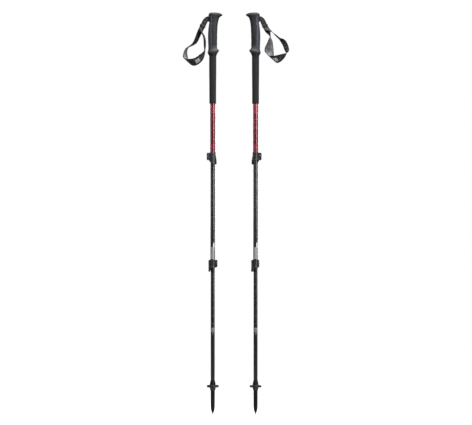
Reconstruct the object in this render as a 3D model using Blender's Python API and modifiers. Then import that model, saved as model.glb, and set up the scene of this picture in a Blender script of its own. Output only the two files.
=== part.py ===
"""A pair of three-section lever-lock trekking poles, standing side by side at full length.

Sizes are in millimetres and are scaled to metres as each mesh is made. Heights are above the
ground. Every pole is drawn about its own vertical axis with the palm side and the strap at -X
and the thumb beak at +X; the second pole is the same pole turned half a turn.
"""

import math

import bmesh
import bpy
from mathutils import Matrix, Vector

MM = 0.001
GAP = 0.3  # clearance between neighbouring pieces
SEGMENTS = 24  # sides of a turned part

# The two poles
LEFT_X, RIGHT_X = -81.5, 67.9
LOWER_CLAMP_TURN = {"left": 232.0, "right": 64.0}  # degrees, how each lower clamp was left

# Tubes: outer radius, wall, lower end, upper end
TUBE_WALL = 0.7
UPPER_R, UPPER_Z = 9.0, (895.3, 1356.0)
MIDDLE_R, MIDDLE_Z = 8.0, (521.3, 979.0)
LOWER_R, LOWER_Z = 7.0, (104.3, 572.0)

# Grip
GRIP_BOTTOM, GRIP_TOP, CAP_TOP = 1248.3, 1388.5, 1400.0
FOAM_BOTTOM, FOAM_R = 1082.0, (11.9, 12.6)
SLOT_Z = (1366.8, 1388.5)
SLOT_HALF = 4.0

# Strap
WEB_HALF, WEB_T = 9.0, 1.5
PAD_T = 3.2
LAYER_Y = 1.15  # the two layers of the stem lie this far each side of its middle
HINGE_X = 15.6

# Clamps: height of the collar's lower edge and its radius
UPPER_CLAMP_Z, UPPER_CLAMP_R = 883.5, 10.7
LOWER_CLAMP_Z, LOWER_CLAMP_R = 509.5, 9.9
COLLAR_H = 29.0
BARREL = (-16.0, -9.6)
SCREW_X = -16.0

# Ground end
BASKET_R, BASKET_Z = 21.0, (85.2, 101.9)


def clear_scene():
    for item in list(bpy.data.objects):
        bpy.data.objects.remove(item, do_unlink=True)


def collection(name):
    made = bpy.data.collections.new(name)
    bpy.context.scene.collection.children.link(made)
    return made


def paint(item, colour, metallic, roughness):
    material = bpy.data.materials.new(item.name + "_finish")
    material.use_nodes = True
    shader = material.node_tree.nodes["Principled BSDF"]
    shader.inputs["Base Color"].default_value = (*colour, 1.0)
    shader.inputs["Metallic"].default_value = metallic
    shader.inputs["Roughness"].default_value = roughness
    item.data.materials.append(material)


class Pole:
    """Where a pole stands, and the collections its pieces go in."""

    def __init__(self, side, x, turn, parts, cutters):
        self.side, self.parts, self.cutters = side, parts, cutters
        self.frame = Matrix.Translation((x * MM, 0, 0)) @ Matrix.Rotation(math.radians(turn), 4, "Z")
        self.straight = Matrix.Translation((x * MM, 0, 0))

    def turned(self, degrees):
        return self.frame @ Matrix.Rotation(math.radians(degrees), 4, "Z")


FINISHES = {
    "red": ((0.32, 0.03, 0.06), 0.6, 0.35),
    "black_tube": ((0.02, 0.02, 0.022), 0.6, 0.4),
    "rubber": ((0.045, 0.05, 0.055), 0.0, 0.7),
    "foam": ((0.03, 0.03, 0.032), 0.0, 0.9),
    "plastic": ((0.03, 0.032, 0.035), 0.0, 0.5),
    "steel": ((0.55, 0.55, 0.55), 1.0, 0.35),
    "webbing": ((0.012, 0.012, 0.012), 0.0, 0.9),
    "lining": ((0.16, 0.15, 0.17), 0.0, 0.9),
    "label": ((0.6, 0.6, 0.6), 0.0, 0.8),
}


def add(pole, name, bm, finish, frame=None, pivot=(0, 0, 0)):
    """Makes one object of bm, whose vertices are in mm in frame, with its origin at pivot."""
    frame = pole.frame if frame is None else frame
    for v in bm.verts:
        v.co = (v.co - Vector(pivot)) * MM
    mesh = bpy.data.meshes.new(pole.side + "_" + name)
    bmesh.ops.recalc_face_normals(bm, faces=bm.faces)
    bm.to_mesh(mesh)
    bm.free()
    item = bpy.data.objects.new(pole.side + "_" + name, mesh)
    item.matrix_world = frame @ Matrix.Translation(Vector(pivot) * MM)
    if finish:
        paint(item, *FINISHES[finish])
        pole.parts.objects.link(item)
    else:
        item.hide_render = True
        item.display_type = "WIRE"
        pole.cutters.objects.link(item)
    return item


def profile_mesh(points, closed):
    bm = bmesh.new()
    verts = [bm.verts.new((r, 0, z)) for r, z in points]
    for a, b in zip(verts, verts[1:] + (verts[:1] if closed else [])):
        if a is not b and not (a is verts[-1] and not closed):
            bm.edges.new((a, b))
    return bm


def turned_part(pole, name, points, finish, closed=False, frame=None, steps=SEGMENTS):
    """A solid of revolution: points are (radius, height) down its outer side."""
    bm = profile_mesh(points, closed)
    item = add(pole, name, bm, finish, frame)
    screw = item.modifiers.new("Turn", "SCREW")
    screw.axis = "Z"
    screw.steps = screw.render_steps = steps
    screw.use_merge_vertices = True
    screw.merge_threshold = 0.00001
    return item


def boolean(item, tool, operation="DIFFERENCE"):
    cut = item.modifiers.new(tool.name, "BOOLEAN")
    cut.operation = operation
    cut.solver = "EXACT"
    cut.object = tool


def box_mesh(low, high, bevel=0.0):
    bm = bmesh.new()
    bmesh.ops.create_cube(bm, size=1.0)
    low, high = Vector(low), Vector(high)
    for v in bm.verts:
        v.co = Vector((low[i] + (v.co[i] + 0.5) * (high[i] - low[i]) for i in range(3)))
    if bevel:
        bmesh.ops.bevel(bm, geom=bm.edges[:], offset=bevel, segments=1, affect="EDGES")
    return bm


def rod_mesh(centre, axis, radius, length, sides=24):
    """A round bar whose middle is at centre."""
    bm = bmesh.new()
    turn = Vector((0, 0, 1)).rotation_difference(Vector(axis)).to_matrix().to_4x4()
    bmesh.ops.create_cone(
        bm, cap_ends=True, segments=sides, radius1=radius, radius2=radius, depth=length,
        matrix=Matrix.Translation(centre) @ turn,
    )
    return bm


def prism_mesh(outline, low, high):
    """The (x, y) outline drawn from z = low to z = high."""
    bm = bmesh.new()
    face = bm.faces.new([bm.verts.new((x, y, low)) for x, y in outline])
    grown = bmesh.ops.extrude_face_region(bm, geom=[face])
    up = [v for v in grown["geom"] if isinstance(v, bmesh.types.BMVert)]
    bmesh.ops.translate(bm, verts=up, vec=(0, 0, high - low))
    return bm


def skin(rings):
    """Closes a stack of equal rings into one body."""
    bm = bmesh.new()
    rows = [[bm.verts.new(p) for p in ring] for ring in rings]
    for lower, upper in zip(rows, rows[1:]):
        for i in range(len(lower)):
            j = (i + 1) % len(lower)
            bm.faces.new((lower[i], lower[j], upper[j], upper[i]))
    bm.faces.new(rows[0][::-1])
    bm.faces.new(rows[-1])
    return bm


def smooth_rows(rows, per):
    """Catmull-Rom through rows of numbers, with per steps between neighbours."""
    ends = [rows[0], *rows, rows[-1]]
    out = []
    for a, b, c, d in zip(ends, ends[1:], ends[2:], ends[3:]):
        for k in range(per):
            t = k / per
            out.append([
                0.5 * (2 * q + (r - p) * t + (2 * p - 5 * q + 4 * r - s) * t * t
                       + (3 * q - p - 3 * r + s) * t ** 3)
                for p, q, r, s in zip(a, b, c, d)
            ])
    return out + [list(rows[-1])]


# ---- grip -------------------------------------------------------------------------------

# height, slope, reach to the palm side, reach to the thumb side, half width, squareness
GRIP_ROWS = [
    (1248.3, 0.00, 12.9, 12.9, 12.9, 2.0),
    (1253.0, 0.06, 14.4, 14.6, 13.8, 2.0),
    (1258.0, 0.16, 16.6, 18.4, 15.7, 2.1),
    (1262.0, 0.18, 17.8, 22.0, 16.8, 2.15),
    (1265.0, 0.18, 17.8, 22.3, 16.7, 2.15),
    (1268.5, 0.17, 16.8, 19.2, 15.6, 2.1),
    (1273.0, 0.12, 15.8, 16.3, 14.5, 2.1),
    (1281.0, 0.05, 15.8, 15.2, 14.1, 2.15),
    (1297.0, 0.00, 16.4, 15.1, 14.3, 2.2),
    (1314.0, 0.00, 16.9, 15.4, 14.6, 2.2),
    (1336.0, 0.00, 16.2, 16.0, 14.6, 2.2),
    (1356.0, 0.00, 14.0, 17.3, 14.0, 2.2),
    (1368.0, 0.00, 12.2, 19.2, 13.4, 2.2),
    (1377.0, 0.00, 12.8, 21.4, 13.3, 2.2),
    (1383.5, 0.00, 14.2, 24.5, 13.6, 2.15),
    (1388.5, 0.00, 15.3, 31.4, 13.8, 2.05),
]
CAP_ROWS = [
    (1388.8, 0.0, 15.3, 31.9, 13.8, 2.05),
    (1390.2, 0.0, 15.2, 33.7, 13.8, 2.0),
    (1391.8, 0.0, 14.9, 34.2, 13.7, 2.0),
    (1394.0, 0.0, 14.2, 32.6, 13.2, 2.0),
    (1396.4, 0.0, 12.9, 29.0, 12.0, 2.0),
    (1398.6, 0.0, 10.4, 23.6, 9.6, 2.0),
    (1400.0, 0.0, 5.6, 14.6, 5.2, 2.0),
]


def egg_ring(row, sides):
    """A closed ring round the pole's axis, longer to one side than to the other."""
    height, slope, back, front, half, power = row
    ring = []
    for i in range(sides):
        a = 2 * math.pi * i / sides
        c, s = math.cos(a), math.sin(a)
        x = (front if c > 0 else back) * math.copysign(abs(c) ** (2 / power), c)
        y = half * math.copysign(abs(s) ** (2 / power), s)
        ring.append((x, y, height + slope * x))
    return ring


def grip_body(pole):
    rings = [egg_ring(row, 24) for row in GRIP_ROWS]
    body = add(pole, "grip_body", skin(rings), "rubber")
    bore_top = UPPER_Z[1] + GAP
    bore = rod_mesh((0, 0, (1240 + bore_top) / 2), (0, 0, 1), UPPER_R + GAP, bore_top - 1240, SEGMENTS)
    boolean(body, add(pole, "cut_grip_bore", bore, None))
    slot = box_mesh((-24, -SLOT_HALF, SLOT_Z[0]), (-2.6, SLOT_HALF, 1395))
    boolean(body, add(pole, "cut_strap_slot", slot, None))


def grip_cap(pole):
    rings = [egg_ring(row, 24) for row in CAP_ROWS]
    add(pole, "grip_cap", skin(rings), "rubber")


def foam_extension(pole):
    top, low = GRIP_BOTTOM - GAP, FOAM_BOTTOM
    inner = UPPER_R + GAP
    points = [
        (inner, top), (FOAM_R[1] - 0.8, top), (FOAM_R[1], top - 1.2),
        (FOAM_R[1] - 0.1, 1200.0), (FOAM_R[0] + 0.1, 1130.0),
        (FOAM_R[0], low + 2.4), (FOAM_R[0] - 0.5, low + 0.7), (FOAM_R[0] - 1.3, low), (inner, low),
    ]
    turned_part(pole, "foam_extension", points, "foam", closed=True)


def strap_wedge(pole):
    """The cartridge that holds the strap in the head: two cheeks and a back."""
    outline = [(-14.4, -3.6), (-3.0, -3.6), (-3.0, 3.6), (-14.4, 3.6)]
    body = add(pole, "strap_wedge", prism_mesh(outline, 1367.1, 1388.2), "plastic", pivot=(-9, 0, 1378))
    boolean(body, add(pole, "cut_wedge_window", box_mesh((-20, -6, 1369.3), (-5.2, 6, 1386.0)), None))
    hole = rod_mesh((-9.6, 0, 1378), (0, 0, 1), 1.25 + GAP, 40)
    boolean(body, add(pole, "cut_wedge_pin", hole, None))


def strap_pin(pole):
    add(pole, "strap_pin", rod_mesh((-9.6, 0, 1377.7), (0, 0, 1), 1.25, 20.2, 20), "steel",
        pivot=(-9.6, 0, 1377.7))


def strap_anchor(pole):
    """The doubled end of the webbing, folded round the pin."""
    inner, outer, x = 1.25 + GAP, 1.25 + GAP + 1.2, -9.6
    angles = [math.radians(-90 + 180 * k / 10) for k in range(11)]
    outline = [(-HINGE_X + 1.8, -outer)]
    outline += [(x + outer * math.cos(a), outer * math.sin(a)) for a in angles]
    outline += [(-HINGE_X + 1.8, outer), (-HINGE_X + 1.8, inner)]
    outline += [(x + inner * math.cos(a), inner * math.sin(a)) for a in reversed(angles)]
    outline += [(-HINGE_X + 1.8, -inner)]
    add(pole, "strap_anchor", prism_mesh(outline, 1369.7, 1385.6), "webbing", pivot=(x, 0, 1378))


# ---- strap ------------------------------------------------------------------------------
# Each row is a place along the strap's middle line and the vector from there to its second edge.
# They are seen from the side that faces the viewer, from each pole's own axis.

LEFT_STEM = [
    (-15.6, 0, 1378.0, 0.0, 0, -9.0),
    (-20.6, 0, 1376.6, 2.4, 0, -8.6),
    (-25.4, 0, 1371.3, 6.9, 0, -5.8),
    (-29.4, 0, 1364.4, 8.0, 0, -4.2),
    (-33.2, 0, 1356.9, 8.0, 0, -4.2),
    (-37.4, 0, 1348.6, 8.0, 0, -4.1),
    (-41.8, 0, 1340.0, 8.0, 0, -4.0),
]
LEFT_OUTER = [
    (-46.5, 0.2, 1330.0, 7.6, 2.4, -3.6),
    (-51.5, 1.5, 1318.5, 6.8, 4.6, -3.0),
    (-56.5, 3.0, 1306.5, 6.3, 5.8, -2.9),
    (-61.8, 4.2, 1297.0, 5.0, 6.9, -2.8),
    (-69.5, 5.2, 1289.6, 2.5, 8.3, -2.0),
    (-79.0, 6.0, 1283.6, 0.8, 8.8, -1.3),
    (-85.8, 6.6, 1279.4, 0.5, 9.0, -0.8),
]
LEFT_INNER = [
    (-40.2, -4.4, 1342.8, 6.8, 3.8, -3.5),
    (-40.3, -8.8, 1336.4, 4.4, 7.4, -1.2),
    (-37.6, -10.4, 1330.0, 1.8, 8.7, 0.2),
    (-33.5, -8.8, 1322.6, 1.2, 8.8, 0.8),
    (-29.6, -6.2, 1313.6, 1.0, 8.9, 0.5),
    (-27.6, -3.8, 1302.0, 1.2, 8.9, 0.2),
    (-27.3, -1.8, 1289.0, 1.2, 8.9, 0.0),
    (-27.5, 0.0, 1277.0, 1.0, 8.9, 0.0),
    (-27.7, 0.7, 1271.0, 1.0, 8.9, 0.0),
]
LEFT_PAD = [
    (-86.2, 6.8, 1279.0, 0.8, 9.3, -1.0),
    (-92.3, 8.0, 1271.5, 2.6, 11.5, -2.2),
    (-95.4, 8.3, 1260.0, 5.6, 12.2, -0.5),
    (-95.3, 7.6, 1247.5, 8.0, 12.0, -3.2),
    (-93.6, 4.8, 1238.3, 10.2, 8.8, -7.4),
    (-90.2, 0.0, 1232.0, 11.3, 3.0, -10.6),
    (-82.3, -5.4, 1227.2, 9.6, 4.4, -11.0),
    (-71.5, -8.6, 1226.0, 6.0, 7.8, -11.6),
    (-60.0, -9.2, 1228.4, 4.5, 8.5, -11.6),
    (-48.5, -7.5, 1235.4, 5.0, 9.2, -10.4),
    (-39.5, -4.6, 1244.8, 5.6, 10.2, -8.0),
    (-32.6, -1.8, 1255.2, 3.8, 10.2, -3.8),
    (-28.6, 0.4, 1264.6, 1.6, 9.6, -1.2),
    (-27.8, 1.0, 1270.2, 1.0, 9.3, -0.2),
]
RIGHT_STEM = [
    (15.6, 0, 1378.0, 0.0, 0, 9.0),
    (20.2, 0, 1376.5, 2.8, 0, 8.5),
    (24.4, 0, 1370.9, 7.2, 0, 5.4),
    (27.6, 0, 1364.3, 8.1, 0, 3.9),
    (30.9, 0, 1357.5, 8.1, 0, 4.0),
    (34.4, 0, 1350.2, 8.0, 0, 4.2),
    (38.4, 0, 1342.8, 7.6, 0, 4.8),
    (43.2, 0, 1335.6, 7.0, 0, 5.6),
]
RIGHT_OUTER = [
    (47.6, 1.2, 1327.2, 4.4, 7.0, 3.2),
    (50.6, 2.2, 1319.0, 1.8, 8.8, 0.9),
    (51.2, 3.6, 1313.0, 1.6, 8.8, 0.4),
]
RIGHT_INNER = [
    (39.0, -4.2, 1343.6, 7.4, 2.6, 4.4),
    (45.4, -8.6, 1339.0, 4.8, 7.0, 3.2),
    (53.0, -10.0, 1334.6, 2.2, 8.5, 1.6),
    (61.8, -7.6, 1328.0, 0.4, 8.9, 0.2),
    (72.0, -4.6, 1319.1, -0.8, 8.9, -1.0),
    (83.5, -2.2, 1309.3, -1.4, 8.7, -1.6),
    (91.5, -1.0, 1303.4, -4.0, 6.6, -4.5),
    (98.2, -0.4, 1296.8, -6.8, 3.0, -5.0),
    (103.6, 0.0, 1287.4, -8.3, 1.5, -3.0),
    (107.3, 0.0, 1277.0, -8.9, 1.0, -1.0),
    (109.0, 0.0, 1269.4, -8.2, 3.6, 0.2),
    (109.2, -0.5, 1262.8, -4.6, 7.6, 0.8),
    (107.6, -1.1, 1257.7, 0.2, 8.9, -0.2),
]
RIGHT_PAD = [
    (51.3, 3.9, 1312.2, 2.0, 9.1, 0.3),
    (51.3, 6.2, 1305.0, 6.5, 9.0, 0.8),
    (50.2, 8.4, 1295.0, 10.0, 8.0, 1.2),
    (48.3, 10.2, 1284.0, 13.4, 6.2, 0.6),
    (47.4, 10.8, 1273.0, 15.8, 4.2, -0.2),
    (47.8, 10.0, 1261.6, 15.8, 3.6, -3.2),
    (51.6, 6.2, 1249.4, 14.0, 3.2, -8.6),
    (57.3, 0.0, 1239.4, 12.2, 2.4, -11.2),
    (65.5, -6.2, 1236.2, 10.4, 4.4, -12.2),
    (74.5, -9.2, 1237.2, 8.0, 8.4, -11.4),
    (84.0, -8.8, 1241.0, 6.4, 9.4, -10.0),
    (93.0, -6.8, 1246.4, 5.4, 9.8, -7.0),
    (100.6, -4.0, 1251.6, 3.4, 9.8, -4.0),
    (106.9, -1.4, 1256.9, 0.6, 9.3, -0.6),
]
STRAPS = {
    "left": {
        "stem": LEFT_STEM, "outer": LEFT_OUTER, "inner": LEFT_INNER, "pad": LEFT_PAD,
        "split": (7, 6), "keeper": (-35.2, 1352.9, -0.452, -0.892), "patch": (7.9, 9.3),
        "hinge": -HINGE_X,
    },
    "right": {
        "stem": RIGHT_STEM, "outer": RIGHT_OUTER, "inner": RIGHT_INNER, "pad": RIGHT_PAD,
        "split": (8, 6), "keeper": (32.6, 1353.9, 0.432, -0.902), "patch": (7.7, 9.2),
        "hinge": HINGE_X,
    },
}


def ribbon_rows(rows, per):
    """Middle points, edge vectors and face normals along a ribbon."""
    fine = smooth_rows(rows, per)
    mid = [Vector(r[:3]) for r in fine]
    edge = [Vector(r[3:]) for r in fine]
    out = []
    for i, (c, w) in enumerate(zip(mid, edge)):
        along = (mid[min(i + 1, len(mid) - 1)] - mid[max(i - 1, 0)]).normalized()
        out.append((c, w, along.cross(w).normalized()))
    return out


def ribbon_mesh(rows, columns, offset=0.0, inset=1.0):
    bm = bmesh.new()
    lines = []
    for c, w, n in rows:
        lines.append([
            bm.verts.new(c + w * (inset * (2 * k / columns - 1)) + n * offset)
            for k in range(columns + 1)
        ])
    for a, b in zip(lines, lines[1:]):
        for k in range(columns):
            bm.faces.new((a[k], a[k + 1], b[k + 1], b[k]))
    return bm


def ribbon(pole, name, bm, thickness, finish, pivot):
    item = add(pole, name, bm, finish, pole.straight, pivot)
    solid = item.modifiers.new("Thickness", "SOLIDIFY")
    solid.thickness = thickness * MM
    solid.offset = 0.0
    solid.use_even_offset = False
    return item


def shifted(rows, y):
    return [(r[0], r[1] + y, *r[2:]) for r in rows]


def strap(pole):
    """The two webbing runs, the wrist pad between them, the keeper and the label."""
    spec = STRAPS[pole.side]
    pivot = (spec["hinge"], 0, 1378)
    outer = shifted(spec["stem"][: spec["split"][0]], LAYER_Y) + spec["outer"]
    inner = shifted(spec["stem"][: spec["split"][1]], -LAYER_Y)
    inner += spec["inner"]
    for name, rows in (("strap_outer_run", outer), ("strap_inner_run", inner)):
        ribbon(pole, name, ribbon_mesh(ribbon_rows(rows, 2), 1), WEB_T, "webbing", pivot)
    pad = ribbon_rows(spec["pad"], 3)
    ribbon(pole, "wrist_pad", ribbon_mesh(pad, 2), PAD_T, "lining", pivot)
    first, last = (round(3 * v) for v in spec["patch"])
    lift = -(PAD_T / 2 + GAP + 0.3)
    label = ribbon_mesh(pad[first:last + 1], 2, lift, 0.56)
    ribbon(pole, "pad_patch", label, 0.6, "label", pivot)
    strap_keeper(pole, spec, pivot)


def strap_keeper(pole, spec, pivot):
    """A moulded loop round both layers of the webbing."""
    x, z, tx, tz = spec["keeper"]
    along, side = Vector((tx, 0, tz)).normalized(), Vector((-tz, 0, tx)).normalized()
    out = Vector((0, 1, 0))
    wide, deep, wall = WEB_HALF + 0.35, LAYER_Y + WEB_T / 2 + 0.35, 1.2
    bm = bmesh.new()
    loops = []
    for half_wide, half_deep in ((wide + wall, deep + wall), (wide, deep)):
        for end in (-3.0, 3.0):
            loops.append([
                bm.verts.new(Vector((x, 0, z)) + along * end + side * (half_wide * a) + out * (half_deep * b))
                for a, b in ((-1, -1), (1, -1), (1, 1), (-1, 1))
            ])
    for a, b in ((0, 1), (1, 3), (3, 2), (2, 0)):
        for i in range(4):
            j = (i + 1) % 4
            bm.faces.new((loops[a][i], loops[a][j], loops[b][j], loops[b][i]))
    add(pole, "strap_keeper", bm, "plastic", pole.straight, pivot)


# ---- shafts -----------------------------------------------------------------------------

def tube(pole, name, radius, span, finish):
    inner = radius - TUBE_WALL
    low, high = span
    points = [
        (radius - 0.15, high), (radius, high - 0.15), (radius, low + 0.15), (radius - 0.15, low),
        (inner, low), (inner, high),
    ]
    turned_part(pole, name, points, finish, closed=True)


def bushing(pole, name, radius, tube_top):
    """A plastic plug that guides a tube's upper end in the tube above."""
    spigot = radius - TUBE_WALL - GAP
    points = [
        (0, tube_top + 6.0), (radius - 0.8, tube_top + 6.0), (radius - 0.1, tube_top + 5.3),
        (radius - 0.1, tube_top + GAP), (spigot, tube_top + GAP), (spigot, tube_top - 13.0),
        (spigot - 0.8, tube_top - 14.0), (0, tube_top - 14.0),
    ]
    turned_part(pole, name, points, "plastic")


# ---- clamps -----------------------------------------------------------------------------

def clamp_collar(pole, name, frame, base, radius, bores):
    """A split collar with two ears. bores are the radii round the outer and the inner tube."""
    top, step = base + COLLAR_H, base + 11.5
    outer, inner = bores
    points = [
        (outer, top), (radius - 0.9, top), (radius, top - 0.9), (radius, base + 0.9),
        (radius - 0.9, base), (inner, base), (inner, step), (outer, step),
    ]
    body = turned_part(pole, name + "_clamp", points, "plastic", closed=True, frame=frame)
    ears = box_mesh((-21.0, -4.2, base + 1.5), (-outer - 0.4, 4.2, base + 27.5), 1.1)
    boolean(body, add(pole, "join_" + name + "_ears", ears, None, frame), "UNION")
    split = box_mesh((-26, -1.2, base - 5), (-inner + 2.5, 1.2, top + 5))
    boolean(body, add(pole, "cut_" + name + "_split", split, None, frame))
    hole = rod_mesh((SCREW_X, 0, base + 14.5), (0, 1, 0), 1.3 + GAP, 20, 12)
    boolean(body, add(pole, "cut_" + name + "_screw", hole, None, frame))


# sweep from the cam in degrees, distance from the axis, lower edge, upper edge, half thickness
LEVER_ROWS = [
    (42.0, 18.0, -1.2, 27.4, 1.3),
    (52.0, 16.9, -3.6, 27.4, 1.3),
    (65.0, 15.9, -8.0, 27.4, 1.25),
    (78.0, 15.3, -11.5, 27.4, 1.2),
    (91.0, 14.9, -13.4, 27.2, 1.2),
    (104.0, 14.6, -13.6, 26.6, 1.2),
    (116.0, 14.2, -13.6, 25.6, 1.2),
    (128.0, 13.6, -13.6, 23.0, 1.15),
    (140.0, 13.1, -13.5, 17.0, 1.1),
    (152.0, 12.7, -13.4, 9.6, 1.1),
    (164.0, 12.5, -13.2, 4.4, 1.1),
    (175.0, 12.6, -12.6, 2.6, 1.1),
]


def lever_ring(row, base):
    """The arm's cut section: an upright plate with its corners taken off."""
    sweep, far, low, high, half = row
    a = math.radians(180.0 + sweep)
    c, s = math.cos(a), math.sin(a)
    chamfer = 0.55
    low, high = base + low, base + high
    section = [
        (-half, low + chamfer), (-half + chamfer, low), (half - chamfer, low), (half, low + chamfer),
        (half, high - chamfer), (half - chamfer, high), (-half + chamfer, high), (-half, high - chamfer),
    ]
    return [((far + d) * c, (far + d) * s, z) for d, z in section]


def clamp_lever(pole, name, frame, base):
    """An eccentric knuckle on the barrel and the arm that closes round the tube."""
    x, y = BARREL
    pivot = (x, y, base + 14.5)
    knuckle = rod_mesh((x, y + 0.5, base + 14.5), (0, 0, 1), 4.6, 25.8, 20)
    body = add(pole, name + "_lever", knuckle, "plastic", frame, pivot)
    arm = skin([lever_ring(row, base) for row in LEVER_ROWS])
    boolean(body, add(pole, "join_" + name + "_arm", arm, None, frame), "UNION")
    hole = rod_mesh((x, y, base + 14.5), (0, 0, 1), 2.8 + GAP, 60, 16)
    boolean(body, add(pole, "cut_" + name + "_barrel", hole, None, frame))
    sector = [(x, y)]
    for k in range(10):
        a = math.radians(56 + (272 - 56) * k / 9)
        sector.append((x + 9.0 * math.cos(a), y + 9.0 * math.sin(a)))
    slit = prism_mesh(sector, base + 12.3, base + 16.7)
    boolean(body, add(pole, "cut_" + name + "_fork", slit, None, frame))


def clamp_barrel(pole, name, frame, base):
    x, y = BARREL
    pivot = (x, y, base + 14.5)
    pin = rod_mesh(pivot, (0, 0, 1), 2.8, 24.6, 16)
    body = add(pole, name + "_barrel", pin, "steel", frame, pivot)
    hole = rod_mesh((x, y, base + 14.5), (0, 1, 0), 1.3 + GAP, 20, 12)
    boolean(body, add(pole, "cut_" + name + "_thread", hole, None, frame))


def clamp_screw(pole, name, frame, base):
    """The tension screw, with a slot in its head."""
    z = base + 14.5
    body = add(pole, name + "_screw", rod_mesh((SCREW_X, -3.25, z), (0, 1, 0), 1.3, 16.7, 12), "steel",
               frame, (SCREW_X, 0, z))
    head = rod_mesh((SCREW_X, 5.8, z), (0, 1, 0), 3.2, 2.6, 16)
    boolean(body, add(pole, "join_" + name + "_head", head, None, frame), "UNION")
    slot = box_mesh((SCREW_X - 5, 6.2, z - 0.5), (SCREW_X + 5, 9, z + 0.5))
    boolean(body, add(pole, "cut_" + name + "_head_slot", slot, None, frame))


def clamp(pole, name, frame, base, radius, bores):
    clamp_collar(pole, name, frame, base, radius, bores)
    clamp_lever(pole, name, frame, base)
    clamp_barrel(pole, name, frame, base)
    clamp_screw(pole, name, frame, base)


# ---- ground end -------------------------------------------------------------------------

def flex_tip(pole):
    """Ribbed ferrule round the tube, threaded neck, and the tapering plastic tip."""
    bore, end = LOWER_R + GAP + 0.1, LOWER_Z[0] - GAP
    spigot = LOWER_R - TUBE_WALL - GAP
    ribs = []
    for k in range(4):
        z, r = 115.0 - 3.0 * k, 8.1 + 0.62 * k
        ribs += [(r + 0.5, z - 0.8), (r + 0.2, z - 1.9)]
    thread = []
    for k in range(2):
        z = 99.0 - 6.0 * k
        thread += [(6.9, z), (7.3, z - 1.0), (6.9, z - 2.0)]
    points = [
        (0, 140.0), (spigot - 0.6, 140.0), (spigot, 139.2), (spigot, end), (bore, end), (bore, 116.5),
        (7.9, 116.5), *ribs, (10.3, 102.9), (9.9, 102.3), (6.9, 102.3), *thread,
        (6.9, 84.0), (7.4, 81.0), (7.4, 60.0), (7.3, 40.0),
        (7.1, 25.0), (6.5, 16.5), (4.8, 9.5), (3.2, 5.6), (2.7, 5.0),
        (2.0 + GAP, 5.0), (2.0 + GAP, 17.3), (0, 17.3),
    ]
    turned_part(pole, "flex_tip", points, "plastic", steps=20)


def basket(pole):
    """A threaded hub and a webbed disc with a rim."""
    bore = 7.3 + GAP + 0.1
    points = [
        (bore, 101.9), (9.2, 101.9), (9.9, 101.2), (10.0, 98.4),
        (18.2, 97.4), (18.8, 100.0), (20.3, 100.2), (21.0, 99.2), (21.0, 93.6), (20.3, 92.8),
        (18.8, 93.2), (18.4, 95.0), (10.4, 95.6), (10.2, 90.0), (9.0, 82.0), (bore, 81.6),
    ]
    body = turned_part(pole, "basket", points, "plastic", closed=True, steps=24)
    for k in range(6):
        a = math.radians(60 * k + 30)
        hole = rod_mesh((14.2 * math.cos(a), 14.2 * math.sin(a), 96), (0, 0, 1), 2.9, 20, 10)
        boolean(body, add(pole, "cut_basket_hole_%d" % (k + 1), hole, None))


def carbide_tip(pole):
    points = [
        (0, 17.0), (2.0, 17.0), (2.0, 3.6), (2.3, 3.2), (2.3, 1.4), (1.5, 0.0), (0, 0.0),
    ]
    turned_part(pole, "carbide_tip", points, "steel", steps=16)


def build_pole(pole):
    grip_body(pole)
    grip_cap(pole)
    foam_extension(pole)
    strap_wedge(pole)
    strap_pin(pole)
    strap_anchor(pole)
    strap(pole)
    tube(pole, "upper_shaft", UPPER_R, UPPER_Z, "red")
    tube(pole, "middle_shaft", MIDDLE_R, MIDDLE_Z, "black_tube")
    tube(pole, "lower_shaft", LOWER_R, LOWER_Z, "black_tube")
    bushing(pole, "middle_bushing", MIDDLE_R, MIDDLE_Z[1])
    bushing(pole, "lower_bushing", LOWER_R, LOWER_Z[1])
    clamp(pole, "upper", pole.frame, UPPER_CLAMP_Z, UPPER_CLAMP_R, (UPPER_R + GAP, MIDDLE_R + GAP))
    clamp(pole, "lower", pole.turned(LOWER_CLAMP_TURN[pole.side]), LOWER_CLAMP_Z, LOWER_CLAMP_R,
          (MIDDLE_R + GAP, LOWER_R + GAP))
    flex_tip(pole)
    basket(pole)
    carbide_tip(pole)


def main():
    clear_scene()
    parts, cutters = collection("trekking_poles"), collection("cutters")
    build_pole(Pole("left", LEFT_X, 0.0, parts, cutters))
    build_pole(Pole("right", RIGHT_X, 180.0, parts, cutters))


main()
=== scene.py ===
"""A pair of trekking poles: the visual model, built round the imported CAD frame.

Sizes are in millimetres and become metres as each mesh is made. Every pole is drawn about its
own vertical axis with the palm side at -X and the thumb beak at +X, and the second pole is the
same pole turned half a turn. The straps are drawn as they hang, without that turn.
"""

import math

import bmesh
import bpy
from mathutils import Matrix, Vector, noise


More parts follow.
